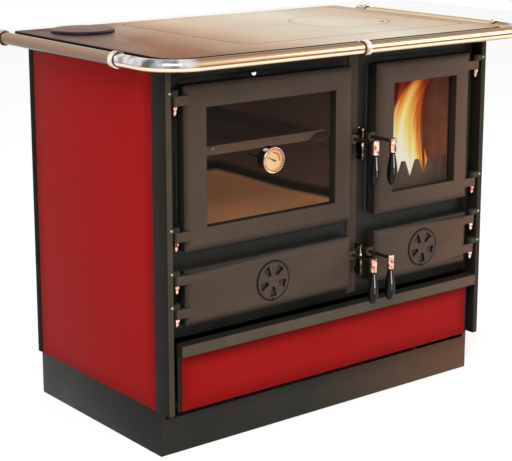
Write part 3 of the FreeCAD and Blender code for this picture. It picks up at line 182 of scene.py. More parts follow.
def stops(*rows):
    """The stops of a colour ramp, from rows of a place between 0 and 1 and a tone."""
    return [(place, tone(*colour)) for place, *colour in rows]


def mottled(dark, light):
    """The stops of most finishes: two tones, and a short way from one to the other."""
    return stops((0.3, *dark), (0.7, *light))


def rescale(tree, source, low, high, start=0.0, end=1.0, smooth=True):
    """Turns the stretch from low to high into the stretch from start to end, and holds it outside."""
    node = tree.nodes.new("ShaderNodeMapRange")
    node.interpolation_type = "SMOOTHSTEP" if smooth else "LINEAR"
    set_inputs(node, {"From Min": low, "From Max": high, "To Min": start, "To Max": end})
    tree.links.new(source, node.inputs["Value"])
    return node.outputs["Result"]


def noise(tree, vector, scale, detail=4.0, distortion=0.0):
    node = tree.nodes.new("ShaderNodeTexNoise")
    set_inputs(node, {"Scale": scale, "Detail": detail, "Distortion": distortion})
    tree.links.new(vector, node.inputs["Vector"])
    return node.outputs["Fac"]


def blend_tones(tree, share, first, second):
    """Goes from one colour to another. Each is a tone or the output of another node."""
    node = tree.nodes.new("ShaderNodeMix")
    node.data_type = "RGBA"
    tree.links.new(share, node.inputs["Factor"])
    for socket, value in ((node.inputs["A"], first), (node.inputs["B"], second)):
        if isinstance(value, tuple):
            socket.default_value = value
        else:
            tree.links.new(value, socket)
    return node.outputs["Result"]


def ramp_of(tree, source, tones):
    """A colour ramp over the stops of a list."""
    node = tree.nodes.new("ShaderNodeValToRGB")
    ramp = node.color_ramp.elements
    while len(ramp) < len(tones):
        ramp.new(1.0)
    for stop, (place, colour) in zip(ramp, tones):
        stop.position = place
        stop.color = colour
    tree.links.new(source, node.inputs["Fac"])
    return node.outputs["Color"]


def facing(tree):
    """The surface's own direction, split into across, depth and height."""
    return split(tree, tree.nodes.new("ShaderNodeNewGeometry").outputs["Normal"])


def finish(name, tones, spots, rough, grain, relief, metal=0.0, gloss=0.3):
    """A surface finish: tones mottled at one scale, a fine relief at another, and a roughness that
    varies. Spots and grain are counts per metre and the relief is in millimetres."""
    material, tree, shader = blank(name)
    set_inputs(shader, {"Metallic": metal, "Specular IOR Level": gloss})
    mottle = noise(tree, spot(tree), spots, 5)
    tree.links.new(ramp_of(tree, mottle, tones), shader.inputs["Base Color"])
    tree.links.new(rescale(tree, mottle, 0.3, 0.7, *rough), shader.inputs["Roughness"])
    bump = tree.nodes.new("ShaderNodeBump")
    set_inputs(bump, {"Strength": 0.6, "Distance": relief * MM})
    tree.links.new(noise(tree, spot(tree), grain, 3), bump.inputs["Height"])
    tree.links.new(bump.outputs["Normal"], shader.inputs["Normal"])
    return material


def repaint(material, make):
    """Lays something over a finish's colour: make is given the node tree and the colour so far."""
    tree = material.node_tree
    socket = tree.nodes["Principled BSDF"].inputs["Base Color"]
    tree.links.new(make(tree, socket.links[0].from_socket), socket)


def shade(material, measured, way, low, high, tint, most=1.0):
    """Lets a finish go over to a tint as its place, or the way it faces, goes from low to high."""
    repaint(material, lambda tree, colour: blend_tones(
        tree, rescale(tree, measured(tree)[way], low, high, 0.0, most), colour, tint))


def dress(material, *nodes):
    """Gives CAD pieces whose shape is right their finish."""
    for node in nodes:
        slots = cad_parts[node].data.materials
        slots.clear()
        slots.append(material)


def fit(piece, material, slot, body="cooker", *nodes):
    """Gives a finished piece its finish and its body, and hides the CAD pieces that it stands for."""
    piece.data.materials.clear()
    piece.data.materials.append(material)
    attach(piece, body)
    if nodes:
        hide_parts(*nodes)


def alone(piece):
    """Selects one piece and nothing else."""
    bpy.ops.object.select_all(action="DESELECT")
    piece.select_set(True)
    bpy.context.view_layer.objects.active = piece


def begin_edit():
    """Opens the active piece in edit mode, with all of it selected."""
    bpy.ops.object.mode_set(mode="EDIT")
    bpy.ops.mesh.select_all(action="SELECT")


def end_edit():
    bpy.ops.object.mode_set(mode="OBJECT")


def worked(piece, kind, **settings):
    """Gives a piece one modifier with these settings, and applies it."""
    alone(piece)
    modifier = piece.modifiers.new("work", kind)
    for setting, value in settings.items():
        setattr(modifier, setting, value)
    bpy.ops.object.modifier_apply(modifier=modifier.name)


def whole_copy(node, name):
    """A copy of a CAD solid, with its loose triangles merged into whole faces."""
    piece = bpy.data.objects.new(name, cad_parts[node].data.copy())
    scene.collection.objects.link(piece)
    alone(piece)
    begin_edit()
    bpy.ops.mesh.remove_doubles(threshold=0.01 * MM)
    bpy.ops.mesh.dissolve_limited(angle_limit=math.radians(0.5))
    end_edit()
    return piece


def rounded(piece, radius):
    """Rounds the sharp edges of a piece as a casting's or a fold's are, and smooths the rest."""
    worked(piece, "BEVEL", width=radius * MM, segments=3, limit_method="ANGLE",
           angle_limit=math.radians(30))
    bpy.ops.object.shade_smooth_by_angle(angle=math.radians(SMOOTH_UNDER))
    return piece


def stand_in(node, name, radius, material, slot, body="cooker"):
    """Puts a copy of a CAD solid, with its edges rounded and with a finish, in the solid's place."""
    fit(rounded(whole_copy(node, name), radius), material, slot, body, node)


stoved_black = finish("stoved_black", mottled((38, 37, 30), (46, 43, 35)), 9, (0.3, 0.42), 500, 0.02,
                      gloss=0.15)
# Painted reflection: brown toward the right end. Painted shade: nearly black on the faces that look left.
shade(stoved_black, places, ACROSS, -0.1, 0.5, tone(104, 70, 48))
shade(stoved_black, facing, ACROSS, -0.6, -0.95, tone(17, 17, 12))
stand_in("plinth", "plinth_sheet", SHEET_ROUNDING, stoved_black, "dark_steel")
base_black = finish("base_black", mottled((30, 29, 26), (40, 38, 33)), 9, (0.4, 0.5), 500, 0.02, gloss=0.15)
dress(base_black, "base_plate")

# Corner posts. Cast iron bars at the front, the right one a little darker, with shade painted on their
# sides so that the front face is lighter, and folded ones at the rear. All are bolted to the base.

CAST_ROUNDING = 1.5
post_iron = finish("post_iron", mottled((74, 65, 55), (84, 74, 62)), 14, (0.45, 0.58), 500, 0.06,
                   gloss=0.06)
shade(post_iron, places, ACROSS, 0.0, 0.4, tone(62, 55, 46))
# Painted shade: the faces that do not look to the front are darker.
shade(post_iron, facing, DEPTH, -0.95, -0.6, tone(34, 31, 27))
for corner in ("front_post_left", "front_post_right"):
    stand_in(corner, corner + "_cast", CAST_ROUNDING, post_iron, "brown_iron")
rear_iron = finish("rear_iron", mottled((16, 14, 13), (24, 21, 19)), 14, (0.55, 0.68), 500, 0.06,
                   gloss=0.06)
for corner in ("rear_post_left", "rear_post_right"):
    stand_in(corner, corner + "_folded", CAST_ROUNDING, rear_iron, "black_iron")

# Side panels. Enamelled steel sheet with folded edges, held between the front and rear posts. Shade is
# painted into the enamel, a little darker toward the folds.

# The width of the painted shade at the edges is in metres.
EDGE_SHADE_WIDTH = 0.04


def enamel(name, way, low, high):
    """Red enamel with painted shade that darkens it toward the edges of a panel, which runs across or in
    depth.
    """
    material = finish(name, stops((0.35, 166, 27, 27), (0.65, 173, 31, 31)), 3, (0.4, 0.5), 200, 0.01,
                      gloss=0.025)

    def paint_edge_shade(tree, colour):
        where = places(tree)
        margin = EDGE_SHADE_WIDTH
        for along in (way, HEIGHT):
            for distance in (count(tree, "SUBTRACT", where[along], low[along]),
                             count(tree, "SUBTRACT", high[along], where[along])):
                margin = count(tree, "MINIMUM", margin, distance)
        return blend_tones(tree, rescale(tree, margin, 0.0, EDGE_SHADE_WIDTH), tone(146, 22, 22), colour)

    repaint(material, paint_edge_shade)
    return material


for side in ("left", "right"):
    panel = f"side_panel_{side}"
    side_enamel = enamel(f"enamel_{side}", DEPTH, *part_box(panel))
    stand_in(panel, panel + "_enamelled", SHEET_ROUNDING, side_enamel, "red_enamel")

# Back panel and flue. Painted sheet closes the rear. The flue box behind and over the oven is cast,
# and a short collar for the pipe goes out of it through the panel.

FLUE_ROUNDING = 0.8
back_paint = finish("back_paint", mottled((46, 44, 40), (58, 54, 49)), 6, (0.42, 0.55), 600, 0.03,
                    gloss=0.2)
dress(back_paint, "back_panel")
flue_iron = finish("flue_iron", mottled((34, 33, 31), (48, 45, 41)), 22, (0.55, 0.7), 500, 0.1, gloss=0.2)
dress(flue_iron, "flue_box")
stand_in("flue_spigot", "flue_collar", FLUE_ROUNDING, flue_iron, "dark_steel")

# Back panel screws. Small domed heads of zinc-plated steel hold the sheet to the rear posts, to the
# base and to the hob's rail.

FRONT_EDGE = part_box("front_post_left")[0].y
BACK_FACE = 540
SCREW_COLUMNS = (-430, 430)
SCREW_ROWS = (130, 300, 470, 640, 810)
EDGE_COLUMNS = (-200, 0, 200)
EDGE_ROWS = (112, 824)
DOME = ((0, 4.2), (1, 4.2), (2, 3.4), (2.6, 1.8), (2.8, 0.6))
# How a piece that is turned along its height is laid over.
TO_FRONT = (math.radians(90), 0, 0)
TO_REAR = (math.radians(-90), 0, 0)
TO_RIGHT = (0, math.radians(90), 0)


def at(across, depth, height):
    """A place in millimetres, in the frame's metres. Depth counts from the front edge of the posts."""
    return Vector((across * MM, FRONT_EDGE + depth * MM, height * MM))


def turned(name, steps, sides=24):
    """A turned piece: a disc that is drawn out upward through pairs of height and radius."""
    height, radius = steps[0]
    bpy.ops.mesh.primitive_circle_add(vertices=sides, radius=radius * MM, fill_type="NGON",
                                      location=(0, 0, height * MM))
    piece = bpy.context.object
    piece.name = name
    bpy.ops.object.transform_apply(location=True)
    begin_edit()
    for next_height, next_radius in steps[1:]:
        bpy.ops.mesh.extrude_region_move(
            TRANSFORM_OT_translate={"value": (0, 0, (next_height - height) * MM)})
        share = next_radius / radius
        bpy.ops.transform.resize(value=(share, share, 1), center_override=(0, 0, next_height * MM))
        height, radius = next_height, next_radius
    end_edit()
    return piece


def settle(piece, smooth=SMOOTH_UNDER):
    """Puts a piece's place into its mesh, turns its faces outwards and smooths the shading."""
    alone(piece)
    bpy.ops.object.transform_apply(location=True, rotation=True, scale=True)
    begin_edit()
    bpy.ops.mesh.remove_doubles(threshold=0.001 * MM)
    bpy.ops.mesh.normals_make_consistent(inside=False)
    end_edit()
    bpy.ops.object.shade_smooth_by_angle(angle=math.radians(smooth))
    return piece


def copies(pattern, spots, lean=(0, 0, 0)):
    """Copies a modelled piece to each spot, each with its own mesh, and joins them into one."""
    name = pattern.name
    made = []
    for place in spots:
        piece = bpy.data.objects.new(name, pattern.data.copy())
        piece.location = place
        piece.rotation_euler = lean
        scene.collection.objects.link(piece)
        made.append(piece)
    alone(made[0])
    for piece in made:
        piece.select_set(True)
    bpy.ops.object.join()
    bpy.data.objects.remove(pattern)
    made[0].name = name
    return settle(made[0])


screw_zinc = finish("screw_zinc", mottled((150, 148, 142), (176, 173, 166)), 60, (0.25, 0.4), 500, 0.01,
                    metal=1.0)
post_screws = [at(x, BACK_FACE, z) for x in SCREW_COLUMNS for z in SCREW_ROWS]
edge_screws = [at(x, BACK_FACE, z) for x in EDGE_COLUMNS for z in EDGE_ROWS]
back_screws = copies(turned("back_panel_screws", DOME), post_screws + edge_screws, TO_REAR)
fit(back_screws, screw_zinc, "nickel")

# Front frame. The casting that the doors close on, painted dark with the shade of the recess behind
# the doors. A bead runs round each upper door opening, and a rounded bar stands on the stile between
# the doors.

FRAME_FACE = 32
BEAD_BOTTOM, BEAD_TOP = 430, 797
BEAD_CORNER = 22
BEAD_THICKNESS = 1.8
STILE_MIDDLE = (66, FRAME_FACE - 1.5, 545)
STILE_SIZE = (30, 4, 560)
STILE_ROUNDING = 3.4

frame_iron = finish("frame_iron", mottled((28, 29, 26), (38, 37, 32)), 12, (0.42, 0.55), 500, 0.06,
                    gloss=0.2)
shade(frame_iron, places, ACROSS, 0.418, 0.44, tone(66, 61, 52))
stand_in("front_frame", "front_frame_cast", CAST_ROUNDING, frame_iron, "brown_iron")


def started(name, add_primitive, place, size, **choices):
    """Adds a primitive at a place, and brings it to a size in millimetres."""
    add_primitive(size=1, location=place, **choices)
    piece = bpy.context.object
    piece.name = name
    piece.scale = Vector(size) * MM
    bpy.ops.object.transform_apply(location=True, rotation=True, scale=True)
    return piece


def bead(name, left, right):
    """A round bead on the frame's face: a rounded plate's outline that is given a thickness."""
    started(name, bpy.ops.mesh.primitive_plane_add,
            at((left + right) / 2, FRAME_FACE, (BEAD_BOTTOM + BEAD_TOP) / 2),
            (right - left, BEAD_TOP - BEAD_BOTTOM, 1), rotation=TO_FRONT)
    begin_edit()
    bpy.ops.mesh.bevel(offset=BEAD_CORNER * MM, segments=8, affect="VERTICES")
    bpy.ops.mesh.select_all(action="SELECT")
    bpy.ops.mesh.delete(type="ONLY_FACE")
    end_edit()
    alone(bpy.context.object)
    bpy.ops.object.convert(target="CURVE")
    outline = bpy.context.object.data
    outline.bevel_depth = BEAD_THICKNESS * MM
    outline.bevel_resolution = 3
    bpy.ops.object.convert(target="MESH")
    return settle(bpy.context.object)


def pick(kind, test):
    """In edit mode, selects the faces, edges or points that pass a test and nothing else. The test
    is given the part's middle, in the millimetres that at() takes, and the part itself."""
    bpy.ops.mesh.select_mode(type=kind)
    bpy.ops.mesh.select_all(action="DESELECT")
    form = bmesh.from_edit_mesh(bpy.context.edit_object.data)
    for part in {"FACE": form.faces, "EDGE": form.edges, "VERT": form.verts}[kind]:
        points = [part] if kind == "VERT" else part.verts
        middle = sum((point.co for point in points), Vector()) / len(points)
        if test((middle - Vector((0, FRONT_EDGE, 0))) / MM, part):
            part.select_set(True)
    form.select_flush_mode()
    bmesh.update_edit_mesh(bpy.context.edit_object.data)


bead_iron = finish("bead_iron", mottled((36, 41, 35), (44, 50, 42)), 14, (0.35, 0.45), 500, 0.04)
fit(bead("oven_opening_bead", -410, 48), bead_iron, "brown_iron")
fit(bead("fire_opening_bead", 108, 411), bead_iron, "brown_iron")

stile = started("stile_bar", bpy.ops.mesh.primitive_cube_add, at(*STILE_MIDDLE), STILE_SIZE)
begin_edit()
pick("EDGE", lambda middle, edge: middle.y < FRAME_FACE - 3 and abs(middle.z - STILE_MIDDLE[HEIGHT]) < 1)
bpy.ops.mesh.bevel(offset=STILE_ROUNDING * MM, segments=6, affect="EDGES")
end_edit()
stile_iron = finish("stile_iron", mottled((66, 57, 46), (78, 67, 54)), 12, (0.42, 0.55), 500, 0.06,
                    gloss=0.15)
fit(settle(stile), stile_iron, "brown_iron")

# Hob. A ground steel surround, with the hotplate let into it, a lifting lid in the hotplate and a
# cast cover over the flue's top outlet. A reflection is painted on the steel in bands, brown at the
# flue's end and nearly white at the fire's, and its edges and sides are painted dark as shade.

# How much the edges of each ground piece are rounded.
GROUND_PIECES = {"hob_surround": 1.6, "hotplate": 0.8, "hotplate_lid": 0.8}
hob_steel = finish("hob_steel", stops((0.25, 120, 96, 80), (0.75, 128, 104, 86)), 5, (0.26, 0.36), 260,
                   0.01, metal=1.0)
set_inputs(hob_steel.node_tree.nodes["Principled BSDF"], {"Specular Tint": (0.7, 0.62, 0.55, 1)})


def painted_reflection_bands(tree, colour):
    """Painted reflection in bands from the flue's end to the fire's, uneven at their edges, and a dark
    red-brown patch at the rear left.
    """
    across, depth, height = places(tree)
    patchy = count(tree, "SUBTRACT", across, 0.05)
    patchy = count(tree, "MULTIPLY_ADD", noise(tree, spot(tree), 6, 4), 0.1, patchy)
    patchy = count(tree, "MULTIPLY_ADD", depth, -0.06, patchy)
    reflected_tone = ramp_of(tree, rescale(tree, patchy, -0.5, 0.5, smooth=False), stops(
        (0.04, 150, 88, 58), (0.16, 161, 107, 69), (0.27, 201, 161, 129), (0.42, 239, 219, 194),
        (0.68, 255, 252, 236), (0.9, 235, 212, 183), (0.98, 190, 158, 125)))
    dark_patch = count(tree, "MULTIPLY_ADD", depth, 0.5, count(tree, "MULTIPLY", patchy, -1.0))
    return blend_tones(tree, rescale(tree, dark_patch, 0.34, 0.56), reflected_tone, tone(78, 28, 22))


repaint(hob_steel, painted_reflection_bands)
# Painted shade on the edges and sides of the ground pieces.
shade(hob_steel, facing, HEIGHT, 0.985, 0.9, tone(40, 36, 32))
for node, rounding in GROUND_PIECES.items():
    body = "hotplate_lid" if node == "hotplate_lid" else "cooker"
    stand_in(node, node + "_ground", rounding, hob_steel, "ground_steel", body)
cover_iron = finish("cover_iron", mottled((104, 68, 52), (122, 80, 62)), 18, (0.4, 0.5), 400, 0.05,
                    gloss=0.2)
# Painted shade: the faces that do not look up are a dark blue-black.
shade(cover_iron, facing, HEIGHT, 0.98, 0.6, tone(20, 24, 52))
stand_in("flue_cover", "flue_cover_cast", CAST_ROUNDING, cover_iron, "ground_steel", "flue_cover")

# Towel rail. Nickelled tube in three lengths: a front one with a bend at each corner and a straight
# one on each side. Collars join and carry them on brackets under the hob's edge.

RAIL_RADIUS = 13.5
RAIL_HEIGHT = 839
RAIL_BEND = 85
RAIL_SIDE = 511
RAIL_FRONT = -78
COLLAR_ROUNDING = 1.6
# The side lengths start where the front one ends.
LEFT_START, LEFT_END = 90, 568
RIGHT_START, RIGHT_END = 28, 495


def nickel(name, bands):
    """Nickel plate with a painted reflection, whose tone goes in bands from the underside of the tube to
    its top.
    """
    material = finish(name, bands, 8, (0.16, 0.24), 300, 0.005, metal=0.9)
    repaint(material, lambda tree, colour: ramp_of(
        tree, rescale(tree, facing(tree)[HEIGHT], -1, 1, smooth=False), bands))
    return material


front_nickel = nickel("front_nickel", stops(
    (0.0, 112, 80, 54), (0.1, 160, 122, 90), (0.2, 240, 224, 192), (0.38, 248, 234, 204),
    (0.42, 132, 86, 54), (0.48, 146, 98, 66), (0.54, 204, 166, 130), (0.66, 226, 196, 162),
    (0.78, 196, 158, 124), (0.9, 158, 120, 90), (1.0, 116, 86, 64)))
right_nickel = nickel("right_nickel", stops(
    (0.0, 130, 96, 66), (0.2, 214, 180, 130), (0.45, 240, 214, 162), (0.7, 250, 232, 190),
    (0.9, 226, 194, 148), (1.0, 160, 124, 90)))
left_nickel = nickel("left_nickel", stops(
    (0.0, 84, 64, 56), (0.2, 108, 84, 74), (0.4, 138, 110, 92), (0.7, 156, 124, 94), (0.88, 166, 134, 104),
    (1.0, 130, 102, 80)))


def painted_bend_reflection(tree, colour):
    """A painted reflection at the bend at the left: pale and bluish in patches, except on its underside."""
    patches = ramp_of(tree, noise(tree, spot(tree), 26, 3), stops(
        (0.36, 84, 74, 76), (0.46, 140, 146, 172), (0.58, 228, 226, 226)))
    at_bend = rescale(tree, places(tree)[ACROSS], -0.43, -0.46, 0.0, 0.85)
    above = rescale(tree, facing(tree)[HEIGHT], -0.35, 0.1)
    return blend_tones(tree, count(tree, "MULTIPLY", at_bend, above), colour, patches)


repaint(front_nickel, painted_bend_reflection)


def tube_start(name, place):
    """An open ring of the tube that faces the front, in edit mode, ready to be drawn out."""
    bpy.ops.mesh.primitive_circle_add(vertices=40, radius=RAIL_RADIUS * MM, location=place,
                                      rotation=TO_FRONT)
    piece = bpy.context.object
    piece.name = name
    bpy.ops.object.transform_apply(location=True, rotation=True)
    begin_edit()
    return piece


def draw_out(across, depth):
    bpy.ops.mesh.extrude_region_move(TRANSFORM_OT_translate={"value": (across * MM, depth * MM, 0)})


def bend_round(across, depth):
    """Bends the tube's end through a quarter turn to the right, round an upright axis."""
    bpy.ops.mesh.spin(steps=20, angle=math.radians(-90), center=at(across, depth, RAIL_HEIGHT),
                      axis=(0, 0, 1))


def close_ends(piece):
    """Fills the two open ends of a tube."""
    bpy.ops.mesh.select_mode(type="EDGE")
    bpy.ops.mesh.select_all(action="DESELECT")
    bpy.ops.mesh.select_non_manifold()
    bpy.ops.mesh.fill_holes(sides=0)
    end_edit()
    return settle(piece)


bend_depth = RAIL_FRONT + RAIL_BEND
bend_across = RAIL_SIDE - RAIL_BEND
front_rail = tube_start("rail_front_tube", at(-RAIL_SIDE, LEFT_START, RAIL_HEIGHT))
draw_out(0, bend_depth - LEFT_START)
bend_round(-bend_across, bend_depth)
for quarter in range(4):
    draw_out(2 * bend_across / 4, 0)
bend_round(bend_across, bend_depth)
draw_out(0, RIGHT_START - bend_depth)
fit(close_ends(front_rail), front_nickel, "nickel", "cooker", "rail_front")
for side, sign, start, end, plating in (("left", -1, LEFT_START, LEFT_END, left_nickel),
                                        ("right", 1, RIGHT_START, RIGHT_END, right_nickel)):
    tube = tube_start(f"rail_{side}_tube", at(sign * RAIL_SIDE, start, RAIL_HEIGHT))
    draw_out(0, end - start)
    fit(close_ends(tube), plating, "nickel", "cooker", f"rail_{side}")
collar_nickel = finish("collar_nickel",
                       stops((0.36, 150, 122, 102), (0.5, 206, 184, 164), (0.62, 248, 240, 228)),
                       60, (0.14, 0.22), 300, 0.01, metal=0.9)
stand_in("rail_brackets", "rail_collars", COLLAR_ROUNDING, collar_nickel, "nickel")

# Rail seams. Black rings on the tube, one on each side of a collar, make the dark joint there.

SEAM = ((-1, 13.3), (-1, 14.6), (-0.6, 15), (0.6, 15), (1, 14.6), (1, 13.3))
SEAM_OFFSET = 8
SIDE_COLLARS = ((-1, 90), (-1, 552), (1, 28), (1, 479))

seam_black = finish("seam_black", mottled((26, 24, 24), (44, 38, 36)), 50, (0.4, 0.5), 500, 0.01)
side_spots = [at(sign * RAIL_SIDE, collar + offset, RAIL_HEIGHT)
              for sign, collar in SIDE_COLLARS for offset in (-SEAM_OFFSET, SEAM_OFFSET)]
fit(copies(turned("side_seams", SEAM, 32), side_spots, TO_FRONT), seam_black, "rope")
front_spots = [at(offset, RAIL_FRONT, RAIL_HEIGHT) for offset in (-SEAM_OFFSET, SEAM_OFFSET)]
fit(copies(turned("front_seams", SEAM, 32), front_spots, TO_RIGHT), seam_black, "rope")

# Rail caps. A turned and nickelled cap closes the rear end of each side tube. The left one is
# pushed further over its tube.

CAP = ((-3, 13.6), (0, 14.2), (3, 15.4), (8, 15.8), (12, 14.2), (15, 10.5), (16.5, 5.5), (17, 1.5))
LEFT_CAP_OVERLAP = 15
cap_spots = [at(-RAIL_SIDE, LEFT_END - LEFT_CAP_OVERLAP, RAIL_HEIGHT),
             at(RAIL_SIDE, RIGHT_END, RAIL_HEIGHT)]
fit(copies(turned("rail_caps", CAP, 32), cap_spots, TO_REAR), collar_nickel, "nickel")

# Oven. An enamelled steel box with a wide rib down each side. Its floor is browned by baking, and a
# black line of painted shade lies where the wall is rounded into it.

oven_enamel = finish("oven_enamel", mottled((70, 52, 45), (82, 64, 56)), 7, (0.4, 0.5), 120, 0.01,
                     gloss=0.1)


def baked(tree, colour):
    """The streaky brown floor, a black line of painted shade over it and the wall's own enamel, by height.
    """
    wave = count(tree, "SUBTRACT", places(tree)[HEIGHT], 0.015)
    wave = count(tree, "MULTIPLY_ADD", noise(tree, spot(tree), 2.2, 1), 0.03, wave)
    line = ramp_of(tree, rescale(tree, wave, 0.47, 0.53, smooth=False), stops(
        (0.0, 166, 116, 82), (0.12, 152, 110, 78), (0.18, 110, 92, 70), (0.24, 28, 31, 26),
        (0.42, 24, 28, 24), (0.5, 50, 38, 32)))
    streaks = tree.nodes.new("ShaderNodeMapping")
    streaks.inputs["Scale"].default_value = (6, 30, 1)
    tree.links.new(spot(tree), streaks.inputs["Vector"])
    streaky = noise(tree, streaks.outputs["Vector"], 1.4, 4, 0.8)
    browned = blend_tones(tree, streaky, tone(190, 120, 82), tone(152, 118, 82))
    floor_or_line = blend_tones(tree, rescale(tree, wave, 0.474, 0.478), browned, line)
    return blend_tones(tree, rescale(tree, wave, 0.5, 0.508), floor_or_line, colour)


def painted_glow(material, strength):
    """Paints light into a finish: it gives off a little of its own colour, though it is no lamp."""
    tree = material.node_tree
    shader = tree.nodes["Principled BSDF"]
    tree.links.new(shader.inputs["Base Color"].links[0].from_socket, shader.inputs["Emission Color"])
    shader.inputs["Emission Strength"].default_value = strength


repaint(oven_enamel, baked)
# Painted glow: the oven's enamel gives off a little light.
painted_glow(oven_enamel, 0.32)
dress(oven_enamel, "oven_box")
dress(base_black, "under_oven_box")

# Oven tray. A pressed and enamelled pan with a flat rim, sloping sides and a rivet at its left end.

TRAY_SPREAD = 24
TRAY_DROP = 5
TRAY_RIM = 10
TRAY_DEPTH = 22
TRAY_BEND = 5
TRAY_SHEET = 1.5
# How much narrower and shorter the tray's floor is than its rim.
TRAY_SLOPE = (0.86, 0.97, 1)
RIVET_SPOT = (-306, 51, 640)
RIVET = ((0, 3.4), (1.4, 3.4), (2.6, 2.4), (3, 0.8))

tray_low, tray_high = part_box("oven_tray")
tray_middle = (tray_low + tray_high) / 2
tray_size = (tray_high - tray_low) / MM
tray = started("oven_tray_pressed", bpy.ops.mesh.primitive_plane_add,
               (tray_middle.x, tray_middle.y, tray_high.z - TRAY_DROP * MM),
               (tray_size.x + TRAY_SPREAD, tray_size.y, 1))
begin_edit()
bpy.ops.mesh.inset(thickness=TRAY_RIM * MM)
bpy.ops.mesh.extrude_region_move(TRANSFORM_OT_translate={"value": (0, 0, -TRAY_DEPTH * MM)})
bpy.ops.transform.resize(value=TRAY_SLOPE, center_override=tray_middle)
end_edit()
worked(tray, "BEVEL", width=TRAY_BEND * MM, segments=4, limit_method="ANGLE", angle_limit=math.radians(30))
worked(tray, "SOLIDIFY", thickness=TRAY_SHEET * MM, offset=0)
tray_enamel = finish("tray_enamel", mottled((98, 78, 66), (118, 90, 76)), 10, (0.35, 0.45), 300, 0.02,
                     gloss=0.15)


def painted_shade_inside(tree, colour):
    """Painted shade: the tray is dark where it faces up, behind its front rim."""
    behind = rescale(tree, places(tree)[DEPTH], at(0, 58, 0).y, at(0, 62, 0).y)
    inside = count(tree, "MULTIPLY", behind, rescale(tree, facing(tree)[HEIGHT], 0.1, 0.4))
    return blend_tones(tree, inside, colour, tone(46, 38, 33))


repaint(tray_enamel, painted_shade_inside)
# Painted glow: the tray's enamel gives off a little light.
painted_glow(tray_enamel, 0.45)
fit(settle(tray), tray_enamel, "dark_steel", "cooker", "oven_tray")
fit(copies(turned("oven_tray_rivet", RIVET), [at(*RIVET_SPOT)], TO_FRONT), screw_zinc, "nickel")

# Firebox. Cast casing and shelf, fire bricks with grooves, a slotted grate, and the toothed guard
# that keeps the logs off the door.

casing_iron = finish("casing_iron", mottled((50, 42, 36), (64, 54, 46)), 20, (0.6, 0.8), 300, 0.1,
                     gloss=0.1)
dress(casing_iron, "firebox_casing", "fire_grate", "ash_pan")
brick_clay = finish("brick_clay", mottled((132, 82, 62), (158, 102, 78)), 30, (0.8, 0.95), 300, 0.3,
                    gloss=0.1)
# Painted glow: the bricks give off a little light.
painted_glow(brick_clay, 0.14)
dress(brick_clay, "firebrick_left", "firebrick_right", "firebrick_rear")
guard_iron = finish("guard_iron", mottled((92, 76, 66), (106, 88, 76)), 20, (0.5, 0.65), 300, 0.1,
                    gloss=0.15)
# Painted glow: the guard gives off a little light.
painted_glow(guard_iron, 0.22)
stand_in("log_guard", "log_guard_cast", CAST_ROUNDING, guard_iron, "black_iron")

# Logs and embers. Split beech on the grate, charred where it burns, on a bed of glowing charcoal.

EMBER_MIDDLE = (262, 200, 444)
EMBER_SIZE = (224, 290, 1)
EMBER_THICKNESS = 5
# How much of a log's radius is left on the side that is split flat.
SPLIT_SHARE = 0.55
LOG_SMOOTH_UNDER = 60

log_bark, bark, bark_shader = blank("log_bark")
charring = ramp_of(bark, noise(bark, spot(bark), 60, 5), stops((0.35, 24, 18, 15), (0.6, 70, 48, 34)))
glowing = ramp_of(bark, noise(bark, spot(bark), 90, 5, 0.4),
                  stops((0.52, 0, 0, 0), (0.62, 200, 60, 20), (0.72, 255, 170, 70)))
bark.links.new(charring, bark_shader.inputs["Base Color"])
bark.links.new(glowing, bark_shader.inputs["Emission Color"])
set_inputs(bark_shader, {"Roughness": 0.9, "Emission Strength": 0.8})


def billow(piece, size, strength):
    """Roughens a piece with a cloud pattern, pushed along its faces."""
    pattern = bpy.data.textures.new(piece.name, "CLOUDS")
    pattern.noise_scale = size * MM
    worked(piece, "DISPLACE", texture=pattern, texture_coords="LOCAL", strength=strength * MM)


def firewood(name, place, length, radius, turn):
    """A split log: a round one with one side cut flat, roughened and laid in its place."""
    bpy.ops.mesh.primitive_cylinder_add(vertices=28, radius=radius * MM, depth=length * MM)
    piece = bpy.context.object
    piece.name = name
    begin_edit()
    bpy.ops.mesh.bisect(plane_co=(0, radius * SPLIT_SHARE * MM, 0), plane_no=(0, 1, 0.1), clear_outer=True,
                        use_fill=True)
    bpy.ops.mesh.select_all(action="SELECT")
    bpy.ops.mesh.subdivide(number_cuts=2)
    end_edit()
    piece.location = place
    piece.rotation_euler = [math.radians(angle) for angle in turn]
    billow(settle(piece), size=26, strength=7)
    return settle(piece, LOG_SMOOTH_UNDER)


for name, place, length, radius, turn in (("log_left", at(215, 175, 470), 210, 30, (90, 0, 8)),
                                          ("log_right", at(308, 180, 468), 200, 28, (90, 40, -10)),
                                          ("log_upper", at(255, 190, 508), 170, 24, (84, 70, 50))):
    fit(firewood(name, place, length, radius, turn), log_bark, "firebrick")

embers = started("ember_bed", bpy.ops.mesh.primitive_grid_add, at(*EMBER_MIDDLE), EMBER_SIZE,
                 x_subdivisions=60, y_subdivisions=70)
billow(embers, size=16, strength=12)
worked(embers, "SOLIDIFY", thickness=EMBER_THICKNESS * MM, offset=-1)
fit(settle(embers, LOG_SMOOTH_UNDER), log_bark, "firebrick")

# Flames. Sheets of fire that stand between the guard and the logs: a tall one that leans to the
# right at its top, and shorter tongues on both sides and behind.

FLAME_COLUMNS = 6


